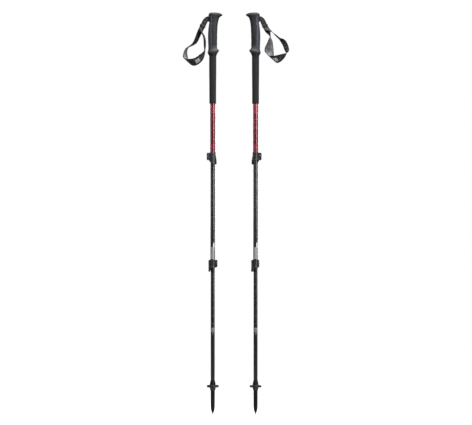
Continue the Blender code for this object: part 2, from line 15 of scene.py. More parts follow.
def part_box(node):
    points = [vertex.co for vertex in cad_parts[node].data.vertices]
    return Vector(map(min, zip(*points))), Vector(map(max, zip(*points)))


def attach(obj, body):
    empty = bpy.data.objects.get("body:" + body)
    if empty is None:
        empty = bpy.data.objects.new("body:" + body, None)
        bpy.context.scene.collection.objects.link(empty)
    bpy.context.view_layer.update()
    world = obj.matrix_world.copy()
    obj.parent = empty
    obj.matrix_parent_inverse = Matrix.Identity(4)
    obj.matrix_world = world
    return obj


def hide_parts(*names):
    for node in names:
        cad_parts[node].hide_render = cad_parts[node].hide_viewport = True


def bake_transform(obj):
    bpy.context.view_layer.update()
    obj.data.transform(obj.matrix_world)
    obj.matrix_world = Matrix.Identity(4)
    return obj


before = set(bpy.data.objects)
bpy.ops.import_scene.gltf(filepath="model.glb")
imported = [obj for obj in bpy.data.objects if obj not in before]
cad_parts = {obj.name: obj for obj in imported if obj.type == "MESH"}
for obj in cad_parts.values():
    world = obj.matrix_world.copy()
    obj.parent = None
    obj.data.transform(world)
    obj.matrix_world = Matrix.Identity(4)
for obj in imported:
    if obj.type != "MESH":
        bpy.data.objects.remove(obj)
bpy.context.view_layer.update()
MM = 0.001
TURN = 2 * math.pi

# Sizes, as the CAD part has them
GAP, TUBE_WALL = 0.3, 0.7
GRIP_BOTTOM, SHAFT_TOP = 1248.3, 1356.0
UPPER_R, MIDDLE_R, LOWER_R = 9.0, 8.0, 7.0
SLOT_Z = (1366.8, 1388.5)
WEB_HALF, WEB_T, LAYER_Y, HINGE_X, PIN_X, PIN_Z = 9.0, 1.5, 1.15, 15.6, 9.6, 1378.0
PAD_T = 3.2
PAD_SCALE = PAD_T / 2 / 1.30  # from the heights in the pad's section to mm
GRIP_R = 15.0  # the grip's radius, for distances round it
UPPER_CLAMP = (883.5, 10.7)
LOWER_CLAMP = (509.5, 9.9)
COLLAR_H, SCREW_H = 29.0, 14.5
BARREL = (-16.0, -9.6)
SCREW_X = -16.0
LOWER_CLAMP_TURN = {"left": 232.0, "right": 64.0}


class Pole:
    def __init__(self, side, turn):
        self.side = side
        low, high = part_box(side + "_lower_shaft")
        self.x = (low.x + high.x) / 2 / MM
        self.straight = Matrix.Translation((self.x * MM, 0, 0))
        self.frame = self.turned(turn, self.straight)
        self.out = -1.0 if side == "left" else 1.0  # which way the strap hangs

    def name(self, part):
        return self.side + "_" + part

    def turned(self, degrees, start=None):
        return (start or self.frame) @ Matrix.Rotation(math.radians(degrees), 4, "Z")


def link(item):
    bpy.context.scene.collection.objects.link(item)
    return item


def limit(value):
    """The value held between 0 and 1."""
    return max(0.0, min(1.0, value))


# ---- camera ----

def camera():
    data = bpy.data.cameras.new("Camera")
    data.lens = 150.0
    data.sensor_width = 36.0
    data.clip_start, data.clip_end = 0.1, 60.0
    eye = link(bpy.data.objects.new("Camera", data))
    width = 1.647  # metres across the picture at the poles
    eye.location = (-0.0003, -width * data.lens / data.sensor_width, 0.7025)
    eye.rotation_euler = (math.radians(90), 0, 0)
    bpy.context.scene.camera = eye


camera()


# ---- materials ----

class Paint:
    """A Principled material and short ways to add nodes to it."""

    def __init__(self, name, colour, roughness, metallic=0.0, **sockets):
        self.material = bpy.data.materials.new(name)
        self.material.use_nodes = True
        self.tree = self.material.node_tree
        self.shader = self.tree.nodes["Principled BSDF"]
        sockets |= {"Base Color": (*colour, 1), "Roughness": roughness, "Metallic": metallic}
        for key, value in sockets.items():
            self.shader.inputs[key.replace("_", " ")].default_value = value
        self._place = None

    def put(self, socket, value):
        if isinstance(value, bpy.types.NodeSocket):
            self.tree.links.new(value, socket)
        else:
            socket.default_value = (*value, 1) if socket.type == "RGBA" else value

    def add(self, kind, values=(), out=0, **settings):
        """A new node's output. The values go to its inputs, by number or by name."""
        node = self.tree.nodes.new("ShaderNode" + kind)
        for key, value in settings.items():
            setattr(node, key, value)
        for key, value in (values.items() if isinstance(values, dict) else enumerate(values)):
            self.put(node.inputs[key], value)
        return node.outputs[out]

    def math(self, operation, *values):
        return self.add("Math", values, operation=operation)

    def mul(self, *values):
        return self.math("MULTIPLY", *values)

    def mad(self, *values):
        """The first value times the second, plus the third."""
        return self.math("MULTIPLY_ADD", *values)

    def size(self, value):
        return self.math("ABSOLUTE", value)

    def place(self):
        """The point on the piece, in metres in the frame of the whole object."""
        if self._place is None:
            self._place = self.add("TexCoord", out="Object")
        return self._place

    def split(self, vector):
        return tuple(self.add("SeparateXYZ", [vector]).node.outputs)

    def strip(self, name="strip"):
        """Across and along, in metres, as one of the piece's own maps has them."""
        return self.split(self.add("UVMap", uv_map=name))[:2]

    def join(self, x, y):
        return self.add("CombineXYZ", (x, y, 0.0))

    def stretched(self, factors):
        return self.add("VectorMath", (self.place(), factors), operation="MULTIPLY")

    def noise(self, scale, detail=3.0, rough=0.55, vector=None):
        return self.add("TexNoise", {"Vector": vector or self.place(), "Scale": scale,
                                     "Detail": detail, "Roughness": rough})

    def cells(self, scale, vector=None):
        return self.add("TexVoronoi", {"Vector": vector or self.place(), "Scale": scale})

    def ramp(self, value, low, high, to_low=0.0, to_high=1.0):
        return self.add("MapRange", (value, low, high, to_low, to_high))

    def mix(self, share, first, second):
        return self.add("Mix", {0: share, 6: first, 7: second}, out=2, data_type="RGBA")

    def wave(self, value, period):
        """A sine of value, from -1 to 1."""
        return self.math("SINE", self.mul(value, TURN / period))

    def between(self, value, low, high):
        """1 where value lies between low and high, else 0."""
        return self.mul(self.math("GREATER_THAN", value, low), self.math("LESS_THAN", value, high))

    def reach(self, x, y):
        """The length of (x, y)."""
        return self.math("SQRT", self.math("ADD", self.mul(x, x), self.mul(y, y)))

    def colour(self, *mixed):
        """The base colour: a mix of share, first and second."""
        self.put(self.shader.inputs["Base Color"], self.mix(*mixed))

    def rough(self, *ramped):
        """The roughness: a ramp of value, low, high, to_low and to_high."""
        self.put(self.shader.inputs["Roughness"], self.ramp(*ramped))

    def bump(self, height, strength, distance):
        self.put(self.shader.inputs["Normal"], self.add(
            "Bump", {"Strength": strength, "Distance": distance, "Height": height}))


def dimmed(colour, share):
    return tuple(share * c for c in colour)


def tube_paint(name, colour, deep, roughness, metallic, coat, shine=0.5):
    """Anodised tube: faint streaks drawn along it over a soft mottle in the dye."""
    p = Paint(name, colour, roughness, metallic, Specular_IOR_Level=shine, Coat_Weight=coat,
              Coat_Roughness=0.22)
    streak = p.noise(1.0, vector=p.stretched((900.0, 900.0, 4.0)))
    shade = p.mad(streak, 0.35, p.mul(p.noise(22.0), 0.45))
    p.colour(p.ramp(shade, 0.25, 0.6), deep, colour)
    p.rough(streak, 0.3, 0.7, roughness - 0.02, roughness + 0.04)
    p.bump(streak, 0.02, 0.00002)
    return p


def red_tube_paint():
    """The red upper tube, with a darker printed zone between two fine rings."""
    p = tube_paint("red_anodised", (0.285, 0.0135, 0.042), (0.245, 0.010, 0.034), 0.30, 0.35, 0.85, 0.4)
    base = p.shader.inputs["Base Color"].links[0].from_socket
    zone = p.between(p.split(p.place())[2], 0.942, 1.0475)
    # a quiet pattern in the printed zone: crossing diagonals round the tube
    around, up = p.strip()
    crossing = [p.wave(p.math(way, around, up), 0.0028) for way in ("ADD", "SUBTRACT")]
    lattice = p.ramp(p.math("MAXIMUM", *crossing), 0.70, 0.95)
    p.colour(zone, base, p.mix(p.mul(lattice, 0.2), (0.130, 0.0043, 0.0135), (0.21, 0.012, 0.032)))
    return p


def rubber_paint(name, colour, deep, panel=False):
    """Moulded rubber: a fine spark-eroded grain over a soft blotch, duller here and there."""
    p = Paint(name, colour, 0.52, Specular_IOR_Level=0.20)
    grain, cloud = p.noise(2600.0, 3.0, 0.7), p.noise(55.0, 4.0, 0.6)
    body = p.ramp(cloud, 0.32, 0.72), deep, colour
    height, share = grain, 0.35
    if panel:
        # the palm panel is softer and greyer, with small lozenges, inside a raised bead
        past, level = p.strip("panel")
        live = p.between(level, 1.2775, 1.3865)
        inside = p.mul(p.ramp(past, 0.0, -0.0006), live)
        bead = p.mul(live, p.ramp(p.size(p.math("SUBTRACT", past, 0.0002)), 0.0010, 0.0004))
        u, v = p.strip()
        crossing = [p.wave(p.math(way, u, v), 0.0032) for way in ("ADD", "SUBTRACT")]
        lozenge = p.mul(p.ramp(p.mul(*crossing), -0.2, 0.45), inside)
        soft = p.mix(p.ramp(cloud, 0.3, 0.7), (0.022, 0.022, 0.026), (0.031, 0.030, 0.036))
        soft = p.mix(p.mul(lozenge, 0.5), soft, (0.054, 0.053, 0.061))
        # the bead is painted a light blue-grey, a painted highlight along the panel's raised edge
        body = p.mul(bead, 0.85), p.mix(inside, p.mix(*body), soft), (0.095, 0.108, 0.145)
        # the ledge's top is painted paler, a painted highlight of the light from above, most of all on its
        # far sides
        ledge = p.mul(p.ramp(v, 1.2865, 1.2800), p.ramp(v, 1.2560, 1.2605))
        ledge = p.mul(ledge, p.ramp(p.size(u), 0.006, 0.030, 0.2, 0.75))
        body = ledge, p.mix(*body), (0.048, 0.049, 0.052)
        height, share = p.mad(lozenge, 1.4, p.mul(grain, 0.4)), 0.55
    p.colour(*body)
    p.rough(p.noise(24.0, 2.0), 0.3, 0.7, 0.48, 0.64)
    p.bump(height, share, 0.00016)
    return p


def foam_paint():
    """Closed-cell foam, cut and ground: fine open cells over a soft blotch."""
    p = Paint("grip_foam", (0.020, 0.020, 0.021), 0.85, Specular_IOR_Level=0.15,
              Sheen_Weight=0.03, Sheen_Roughness=0.6)
    cells, cloud = p.cells(1500.0), p.noise(60.0, 4.0, 0.62)
    shade = p.mad(cloud, 0.7, p.mul(p.ramp(cells, 0.05, 0.45), 0.3))
    p.colour(p.ramp(shade, 0.3, 0.75), (0.0064, 0.0066, 0.0070), (0.0155, 0.0157, 0.0163))
    p.rough(cloud, 0.3, 0.7, 0.74, 0.9)
    p.bump(p.mad(cells, 0.8, cloud), 0.42, 0.00022)
    return p


def plastic_paint(name, colour, roughness=0.42, grain=(1900.0, 0.22), edge=None, shine=0.5):
    """Moulded nylon: spark grain, faint flow marks, rubbed lighter along its edges."""
    p = Paint(name, colour, roughness, Specular_IOR_Level=shine)
    spark, flow = p.noise(grain[0], 2.0, 0.6), p.noise(90.0, 3.0, 0.6)
    light = edge or tuple(2.6 * c + 0.01 for c in colour)
    body = p.mix(p.ramp(flow, 0.3, 0.7), dimmed(colour, 0.62), colour)
    point = p.add("NewGeometry", out="Pointiness")
    p.colour(p.mul(p.ramp(point, 0.53, 0.66), p.ramp(flow, 0.25, 0.7, 0.15, 0.55)), body, light)
    p.rough(flow, 0.3, 0.7, roughness - 0.06, roughness + 0.08)
    p.bump(spark, grain[1], 0.00010)
    return p


def steel_paint(name, colour, roughness):
    """Turned steel: fine rings round the piece and a few dull spots."""
    p = Paint(name, colour, roughness, 1.0)
    turned = p.noise(1.0, 3.0, 0.6, p.stretched((500.0, 500.0, 6000.0)))
    p.colour(p.ramp(p.noise(700.0, 2.0), 0.35, 0.7), dimmed(colour, 0.72), colour)
    p.rough(turned, 0.3, 0.7, roughness - 0.08, roughness + 0.14)
    p.bump(turned, 0.2, 0.00005)
    return p


def cloth(name, colour, roughness, shine, sheen, nap=0.5):
    """A fabric, with its places across and along it."""
    p = Paint(name, colour, roughness, Specular_IOR_Level=shine, Sheen_Weight=sheen, Sheen_Roughness=nap)
    return (p, *p.strip())


def webbing_paint():
    """Flat polyester webbing: ribs across it, plain weave in each rib, and a grey chevron band
    woven down its middle."""
    p, u, v = cloth("webbing", (0.010, 0.010, 0.011), 0.62, 0.2, 0.05, 0.4)
    rib = p.wave(v, 0.00125)
    height = p.mad(p.mul(rib, p.wave(u, 0.0011)), 0.5, p.mul(rib, 0.35))
    fuzz = p.noise(900.0)
    # the raised yarns are painted lighter and the hollows darker, as painted highlight and shade, broken up
    # by the fuzz
    painted_rib_highlight = p.mul(p.ramp(height, 0.05, 0.75), p.ramp(fuzz, 0.3, 0.7, 0.4, 1.0))
    body = p.mix(painted_rib_highlight, (0.0030, 0.0030, 0.0034), (0.013, 0.013, 0.0145))
    reach = p.size(u)
    slant = p.wave(p.mad(reach, 0.9, v), 0.0105)
    chevron = p.mul(p.ramp(p.mad(rib, 0.35, slant), 0.42, 0.78), p.ramp(reach, 0.0050, 0.0044))
    line = p.mul(p.between(reach, 0.0062, 0.0067), 0.35)
    mark = p.mul(p.math("MAXIMUM", chevron, line), p.ramp(fuzz, 0.25, 0.65, 0.55, 1.0))
    p.colour(p.mul(mark, 0.8), body, (0.075, 0.075, 0.079))
    p.rough(height, -0.5, 0.8, 0.72, 0.5)
    p.bump(p.mad(fuzz, 0.25, height), 0.75, 0.00022)
    return p


def pad_paint():
    """The pad's outer face: a knitted mesh with a loose scatter of pale dashes woven into it."""
    p, u, v = cloth("pad_outer", (0.010, 0.010, 0.011), 0.72, 0.28, 0.12, 0.45)
    hole = p.ramp(p.cells(1.0, p.join(p.mul(u, 950.0), p.mul(v, 760.0))), 0.12, 0.5)
    # pale dashes: a slanted lattice, dropped here and there by a slow noise
    long, short = p.wave(p.mad(u, 0.8, v), 0.0084), p.wave(p.mad(u, -1.3, v), 0.0052)
    dash = p.mul(p.ramp(long, 0.15, 0.5), p.ramp(short, 0.05, 0.45))
    dash = p.mul(dash, p.ramp(p.noise(120.0, 2.0), 0.44, 0.54))
    # painted shade: the knit's holes are painted darker below, and the dashes are dimmed in them
    dash = p.mul(p.mul(dash, p.ramp(p.size(u), 0.0094, 0.0088)), p.ramp(hole, 0.0, 1.0, 1.0, 0.6))
    body = p.mix(hole, (0.0125, 0.0125, 0.0135), (0.0045, 0.0045, 0.005))
    p.colour(p.mul(dash, 0.85), body, (0.34, 0.34, 0.35))
    p.bump(p.mad(p.noise(220.0), 0.9, p.mul(hole, -0.8)), 0.6, 0.00028)
    return p


def lining_paint():
    """The pad's lining: brushed grey-mauve fabric, painted lighter and darker in soft patches along the
    nap, as painted sheen and shade.
    """
    p, u, v = cloth("pad_lining", (0.13, 0.122, 0.134), 0.85, 0.25, 0.25, 0.45)
    nap = p.noise(1.0, 4.0, 0.65, p.join(p.mul(u, 900.0), p.mul(v, 350.0)))
    shade = p.mad(nap, 0.35, p.mul(p.noise(75.0, 3.0, 0.6), 0.65))
    p.colour(p.ramp(shade, 0.38, 0.62), (0.055, 0.052, 0.058), (0.20, 0.187, 0.205))
    p.bump(nap, 0.6, 0.00035)
    return p


def binding_paint():
    """Folded tape round the pad's edge."""
    p, _, v = cloth("pad_binding", (0.008, 0.008, 0.009), 0.66, 0.3, 0.12, 0.4)
    rib, fuzz = p.wave(v, 0.0009), p.noise(1200.0, 2.0)
    # the tape's raised ribs are painted lighter, a painted highlight, broken up by the fuzz
    painted_rib_highlight = p.mul(p.ramp(rib, 0.0, 0.9), p.ramp(fuzz, 0.3, 0.7))
    p.colour(painted_rib_highlight, (0.005, 0.005, 0.0055), (0.022, 0.022, 0.024))
    p.bump(p.mad(fuzz, 0.3, rib), 0.6, 0.00014)
    return p


def thread_paint(name, colour):
    p = Paint(name, colour, 0.55, Specular_IOR_Level=0.4, Sheen_Weight=0.3)
    twist = p.noise(2400.0, 2.0)
    p.colour(p.ramp(twist, 0.3, 0.7), dimmed(colour, 0.5), colour)
    p.bump(twist, 0.4, 0.0001)
    return p


def patch_paint():
    """A woven label: pale satin with a generic ring woven into its middle."""
    p, u, v = cloth("patch_label", (0.42, 0.42, 0.43), 0.6, 0.35, 0.25)
    weave = p.mul(p.wave(u, 0.0007), p.wave(v, 0.0009))
    border = p.math("GREATER_THAN", p.math("MAXIMUM", p.size(u), p.size(v)), 0.0066)
    ink = p.math("MAXIMUM", p.between(p.reach(u, v), 0.0026, 0.0036), p.mul(border, 0.8))
    base = p.mix(p.ramp(weave, -0.6, 0.6), (0.30, 0.30, 0.31), (0.56, 0.56, 0.57))
    p.colour(ink, base, (0.05, 0.05, 0.052))
    p.bump(weave, 0.5, 0.00012)
    return p


def print_paint(name, ink, worn):
    """Screen-printed marks, a little broken by rubbing."""
    p = Paint(name, ink, 0.5, Specular_IOR_Level=0.45)
    rub = p.noise(700.0, 4.0, 0.7)
    p.colour(p.ramp(rub, 0.56, 0.72), ink, worn)
    p.rough(rub, 0.3, 0.7, 0.42, 0.6)
    p.bump(rub, 0.15, 0.00003)
    return p


COARSE = (1400.0, 0.3)  # grain scale and strength of the parts near the ground
PAINTS = {
    "red": red_tube_paint(),
    "black": tube_paint("black_anodised", (0.011, 0.011, 0.0125), (0.0075, 0.0075, 0.0085), 0.32, 0.2, 0.5),
    "low_black": tube_paint("black_anodised_low", (0.0050, 0.0050, 0.0055), (0.0035, 0.0035, 0.0038),
                            0.34, 0.1, 0.15, 0.3),
    "grip": rubber_paint("grip_rubber", (0.0160, 0.0180, 0.0212), (0.0108, 0.0125, 0.0148), True),
    "cap": rubber_paint("grip_cap_rubber", (0.0145, 0.0150, 0.0168), (0.0092, 0.0097, 0.0110)),
    "badge": plastic_paint("cap_badge", (0.020, 0.020, 0.022), 0.28),
    "foam": foam_paint(),
    "clamp": plastic_paint("clamp_nylon", (0.012, 0.013, 0.014), 0.44, edge=(0.065, 0.067, 0.070)),
    "lever": plastic_paint("lever_nylon", (0.013, 0.0145, 0.0165), 0.42, edge=(0.085, 0.088, 0.095)),
    "wedge": plastic_paint("wedge_nylon", (0.020, 0.021, 0.023), 0.5),
    "keeper": plastic_paint("keeper_nylon", (0.018, 0.019, 0.020), 0.4),
    "bushing": plastic_paint("bushing_nylon", (0.36, 0.36, 0.34), 0.5),
    "tip": plastic_paint("tip_nylon", (0.0036, 0.0036, 0.0040), 0.50, COARSE, shine=0.16),
    "basket": plastic_paint("basket_nylon", (0.0085, 0.0085, 0.0092), 0.40, COARSE, shine=0.4),
    "steel": steel_paint("steel", (0.17, 0.17, 0.175), 0.36),
    "carbide": steel_paint("carbide", (0.11, 0.11, 0.115), 0.42),
    "webbing": webbing_paint(),
    "pad": pad_paint(),
    "lining": lining_paint(),
    "binding": binding_paint(),
    "black_thread": thread_paint("black_thread", (0.030, 0.030, 0.032)),
    "pale_thread": thread_paint("pale_thread", (0.30, 0.30, 0.31)),
    "patch": patch_paint(),
    "print": print_paint("printed_flash", (0.52, 0.52, 0.53), (0.32, 0.32, 0.33)),
    "scale": print_paint("printed_scale", (0.135, 0.135, 0.140), (0.060, 0.060, 0.063)),
    "red_print": print_paint("printed_rings", (0.38, 0.16, 0.18), (0.20, 0.05, 0.07)),
}


# ---- mesh tools ----

def piece(pole, name, bm, paints, body, replaces=(), sharp=35.0, matrix=None):
    """One object of bm, whose vertices are in mm, with its vertices in place and a body to ride."""
    for v in bm.verts:
        v.co = v.co * MM
    mesh = bpy.data.meshes.new(pole.name(name))
    bm.to_mesh(mesh)
    bm.free()
    mesh.transform(matrix or pole.frame)
    mesh.shade_smooth()
    if sharp is not None:
        mesh.set_sharp_from_angle(angle=math.radians(sharp))
    for key in paints.split():
        mesh.materials.append(PAINTS[key].material)
    item = link(bpy.data.objects.new(pole.name(name), mesh))
    if body:
        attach(item, pole.name(body))
    if replaces:
        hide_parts(*[pole.name(n) for n in replaces])
    return item


def smooth_rows(rows, per):
    """Catmull-Rom through rows of numbers, with per steps between neighbours."""
    ends = [rows[0], *rows, rows[-1]]
    out = []
    for four in zip(ends, ends[1:], ends[2:], ends[3:]):
        for k in range(per):
            t = k / per
            out.append([
                0.5 * (2 * q + (r - p) * t + (2 * p - 5 * q + 4 * r - s) * t * t
                       + (3 * q - p - 3 * r + s) * t ** 3)
                for p, q, r, s in zip(*four)
            ])
    return out + [list(rows[-1])]


def rounded(points, radius, steps=3, closed=False):
    """The outline with each corner turned into a small arc. A point may bring its own radius."""
    flat = [Vector(p[:2]) for p in points]
    n, out = len(flat), []
    for i, corner in enumerate(flat):
        before, after = flat[i - 1] - corner, flat[(i + 1) % n] - corner
        own = points[i][2] if len(points[i]) > 2 else radius
        reach = min(own, before.length * 0.45, after.length * 0.45)
        free_end = not closed and i in (0, n - 1)
        if free_end or reach < 0.02 or before.angle(after, 0) > math.radians(176):
            out.append(corner)
            continue
        first, last = corner + before.normalized() * reach, corner + after.normalized() * reach
        for k in range(steps + 1):
            t = k / steps
            out.append(first.lerp(corner, t).lerp(corner.lerp(last, t), t))
    return [(p.x, p.y) for p in out]


def outward(bm):
    bmesh.ops.recalc_face_normals(bm, faces=bm.faces)
    return bm


def moved(bm, matrix):
    bmesh.ops.transform(bm, matrix=matrix, verts=bm.verts)
    return bm


def around(count):
    """The cosines and sines of count even steps round a circle."""
    return [(math.cos(TURN * k / count), math.sin(TURN * k / count)) for k in range(count)]


def bridge(bm, rows, closed=False):
    """Faces between each ring of vertices and the next, and from the last to the first if closed.
    A ring of one vertex closes to a point."""
    sides = max(len(row) for row in rows)
    for a, b in list(zip(rows, rows[1:])) + ([(rows[-1], rows[0])] if closed else []):
        for k in range(sides):
            j = (k + 1) % sides
            quad = [a[k % len(a)], a[j % len(a)], b[j % len(b)], b[k % len(b)]]
            quad = [v for i, v in enumerate(quad) if v not in quad[:i]]
            if len(quad) > 2:
                bm.faces.new(quad)


def bar(x0, x1, z0, z1):
    return [(x0, z0), (x1, z0), (x1, z1), (x0, z1)]


def turn(points, sides=72, closed=False, cut=None):
    """Revolves (radius, height) points. cut changes a radius by the angle, radius and height."""
    bm = bmesh.new()
    rows = []
    for r, z in points:
        if r < 1e-6:
            rows.append([bm.verts.new((0, 0, z))])
            continue
        row = []
        for k in range(sides):
            a = TURN * k / sides
            reach = r + cut(a, r, z) if cut else r
            row.append(bm.verts.new((reach * math.cos(a), reach * math.sin(a), z)))
        rows.append(row)
    bridge(bm, rows, closed)
    return outward(bm)


def skin(rings, bm=None):
    """Closes a stack of equal rings into one body."""
    made = bm or bmesh.new()
    rows = [[made.verts.new(p) for p in ring] for ring in rings]
    bridge(made, rows)
    made.faces.new(rows[0][::-1])
    made.faces.new(rows[-1])
    return made if bm else outward(made)


def box(low, high, bevel=0.0):
    bm = bmesh.new()
    bmesh.ops.create_cube(bm, size=1.0)
    for v in bm.verts:
        v.co = Vector([a + (c + 0.5) * (b - a) for a, b, c in zip(low, high, v.co)])
    if bevel:
        bmesh.ops.bevel(bm, geom=bm.edges[:], offset=bevel, segments=2, profile=0.7, affect="EDGES")
    return bm


def swung(centre, axis):
    """From upright at the origin to along the axis at the centre."""
    swing = Vector((0, 0, 1)).rotation_difference(Vector(axis))
    return Matrix.Translation(centre) @ swing.to_matrix().to_4x4()


def rod(centre, axis, radius, length, sides=40, bevel=0.0):
    """A round bar with softened ends."""
    half = length / 2
    points = [(0, half), (radius, half), (radius, -half), (0, -half)]
    bm = turn(rounded(points, bevel, max(3, round(3 * bevel))), sides)
    return moved(bm, swung(centre, axis))


def prism(outline, low, high):
    bm = bmesh.new()
    face = bm.faces.new([bm.verts.new((x, y, low)) for x, y in outline])
    grown = bmesh.ops.extrude_face_region(bm, geom=[face])
    up = [v for v in grown["geom"] if isinstance(v, bmesh.types.BMVert)]
    bmesh.ops.translate(bm, verts=up, vec=(0, 0, high - low))
    return outward(bm)


def plain(bm):
    """A bare mesh of bm, which it uses up."""
    mesh = bpy.data.meshes.new("work")
    bm.to_mesh(mesh)
    bm.free()
    return mesh


def carve(bm, tools, cuts=()):
    """bm with the tools joined on and then the cuts taken away, exactly."""
    body = link(bpy.data.objects.new("work", plain(bm)))
    steps = [("UNION", tool) for tool in tools] + [("DIFFERENCE", cut) for cut in cuts]
    for operation, tool in steps:
        cutter = link(bpy.data.objects.new("work", plain(tool)))
        modifier = body.modifiers.new("Carve", "BOOLEAN")
        modifier.operation, modifier.solver, modifier.object = operation, "EXACT", cutter
        graph = bpy.context.evaluated_depsgraph_get()
        mesh = bpy.data.meshes.new_from_object(body.evaluated_get(graph))
        for old in (cutter, body):
            bpy.data.objects.remove(old)
        body = link(bpy.data.objects.new("work", mesh))
    made = bmesh.new()
    made.from_mesh(body.data)
    bpy.data.objects.remove(body)
    bmesh.ops.dissolve_degenerate(made, dist=1e-4, edges=made.edges)
    return made


def soften(item, width, angle=40.0):
    """Rounds the sharp edges of a carved piece."""
    bevel = item.modifiers.new("Edges", "BEVEL")
    bevel.width, bevel.segments = width * MM, 2
    bevel.limit_method, bevel.angle_limit = "ANGLE", math.radians(angle)
    bevel.miter_outer = "MITER_ARC"
    flat = item.modifiers.new("Flat faces", "WEIGHTED_NORMAL")
    flat.weight, flat.keep_sharp = 95, True


def merge(meshes):
    """Several bmeshes as one, each still its own shell."""
    made = bmesh.new()
    for bm in meshes:
        mesh = plain(bm)
        made.from_mesh(mesh)
        bpy.data.meshes.remove(mesh)
    return made


def face_map(bm, name, place):
    """Gives each face corner a place on one of the piece's own maps, in metres."""
    layer = bm.loops.layers.uv.new(name)
    for face in bm.faces:
        middle = face.calc_center_median()
        for loop in face.loops:
            loop[layer].uv = place(loop.vert.co, middle)


def round_and_up(radius, way=1):
    """A map of distance round a tube or grip and height, unbroken over one face."""
    def place(p, middle):
        centre, a = math.atan2(middle.y, way * middle.x), math.atan2(p.y, way * p.x)
        a += TURN * round((centre - a) / TURN)
        return a * radius * MM, p.z * MM
    return place


# ---- grip ----

# height, slope, reach to the palm side, reach to the thumb side, half width, squareness
GRIP_ROWS = [
    (1248.3, 0.00, 12.9, 12.9, 12.9, 2.0),
    (1253.0, 0.06, 14.4, 14.6, 13.8, 2.0),
    (1258.0, 0.16, 16.6, 18.4, 15.7, 2.1),
    (1262.0, 0.18, 17.8, 22.0, 16.8, 2.15),
    (1265.0, 0.18, 17.8, 22.3, 16.7, 2.15),
    (1268.5, 0.17, 16.8, 19.2, 15.6, 2.1),
    (1273.0, 0.12, 15.8, 16.3, 14.5, 2.1),
    (1281.0, 0.05, 15.8, 15.2, 14.1, 2.15),
    (1297.0, 0.00, 16.4, 15.1, 14.3, 2.2),
    (1314.0, 0.00, 16.9, 15.4, 14.6, 2.2),
    (1336.0, 0.00, 16.2, 16.0, 14.6, 2.2),
    (1356.0, 0.00, 14.0, 17.3, 14.0, 2.2),
    (1368.0, 0.00, 12.2, 19.2, 13.4, 2.2),
    (1377.0, 0.00, 12.8, 21.4, 13.3, 2.2),
    (1383.5, 0.00, 14.2, 24.5, 13.6, 2.15),
    (1388.5, 0.00, 15.3, 31.4, 13.8, 2.05),
]
CAP_ROWS = [
    (1388.8, 0.0, 15.3, 31.9, 13.8, 2.05),
    (1390.2, 0.0, 15.2, 33.7, 13.8, 2.0),
    (1391.8, 0.0, 14.9, 34.2, 13.7, 2.0),
    (1394.0, 0.0, 14.2, 32.6, 13.2, 2.0),
    (1396.4, 0.0, 12.9, 29.0, 12.0, 2.0),
    (1398.6, 0.0, 10.4, 23.6, 9.6, 2.0),
    (1400.0, 0.0, 5.6, 14.6, 5.2, 2.0),
]


def bump_at(value, centre, width):
    """A smooth hill of height 1 about centre."""
    return max(0.0, 1 - ((value - centre) / width) ** 2) ** 2


def past_panel(angle, height):
    """How far a place is past the palm panel's waving edge, in mm round the grip: below 0 on the
    panel. The angle is half a turn at the middle of the palm."""
    lean = 1.24 - 0.16 * bump_at(height, 1341.0, 26.0) + 0.02 * (height - 1315.0) / 60.0
    wave = math.sin((height - 1290.0) / 2.6) * limit((height - 1334.0) / 14.0)
    return (math.pi - abs(angle) - lean - 0.085 * wave) * GRIP_R


def grip_relief(angle, height):
    """How far the grip's surface stands out of its plain form: the panel's step and bead,
    finger swells on the thumb side, and the ledge's parting line."""
    past = past_panel(angle, height)
    live = limit((height - 1276.0) / 4.0) * limit((1387.0 - height) / 3.0)
    edge = 0.42 * bump_at(past, 0.2, 1.5) - 0.22 * limit(-past / 0.9)
    swells = sum(bump_at(height, centre, 10.5) for centre in (1291.0, 1313.0, 1335.0))
    thumb = max(0.0, math.cos(angle)) ** 2
    return edge * live + 0.38 * thumb * swells - 0.35 * bump_at(height, 1276.5, 1.6)


def egg(row, sides, relief=None):
    """A ring round the pole's axis, longer to one side than to the other."""
    height, slope, back, front, half, power = row
    ring = []
    for c, s in around(sides):
        x = (front if c > 0 else back) * math.copysign(abs(c) ** (2 / power), c)
        y = half * math.copysign(abs(s) ** (2 / power), s)
        if relief:
            grown = 1 + relief(math.atan2(y, x), height) / math.hypot(x, y)
            x, y = x * grown, y * grown
        ring.append((x, y, height + slope * x))
    return ring


def grip_body(pole):
    sides, bore = 176, UPPER_R + GAP
    stack = [[(bore * c, bore * s, z) for c, s in around(sides)] for z in (SHAFT_TOP + GAP, GRIP_BOTTOM)]
    stack += [egg(row, sides, grip_relief) for row in smooth_rows(GRIP_ROWS, 10)]
    slot = box((-24, -4.0, SLOT_Z[0]), (-2.6, 4.0, 1395), 0.4)
    lip = rounded([(-30, -6.0), (-14.2, -4.0), (-14.2, 4.0), (-30, 6.0)], 0.1, 2, True)
    bm = carve(skin(stack), (), [slot, prism(lip, 1365.4, 1395)])
    face_map(bm, "strip", round_and_up(GRIP_R, -1))
    face_map(bm, "panel", lambda p, middle: (past_panel(math.atan2(p.y, p.x), p.z) * MM, p.z * MM))
    piece(pole, "grip_rubber", bm, "grip", "upper", ["grip_body"], 32)


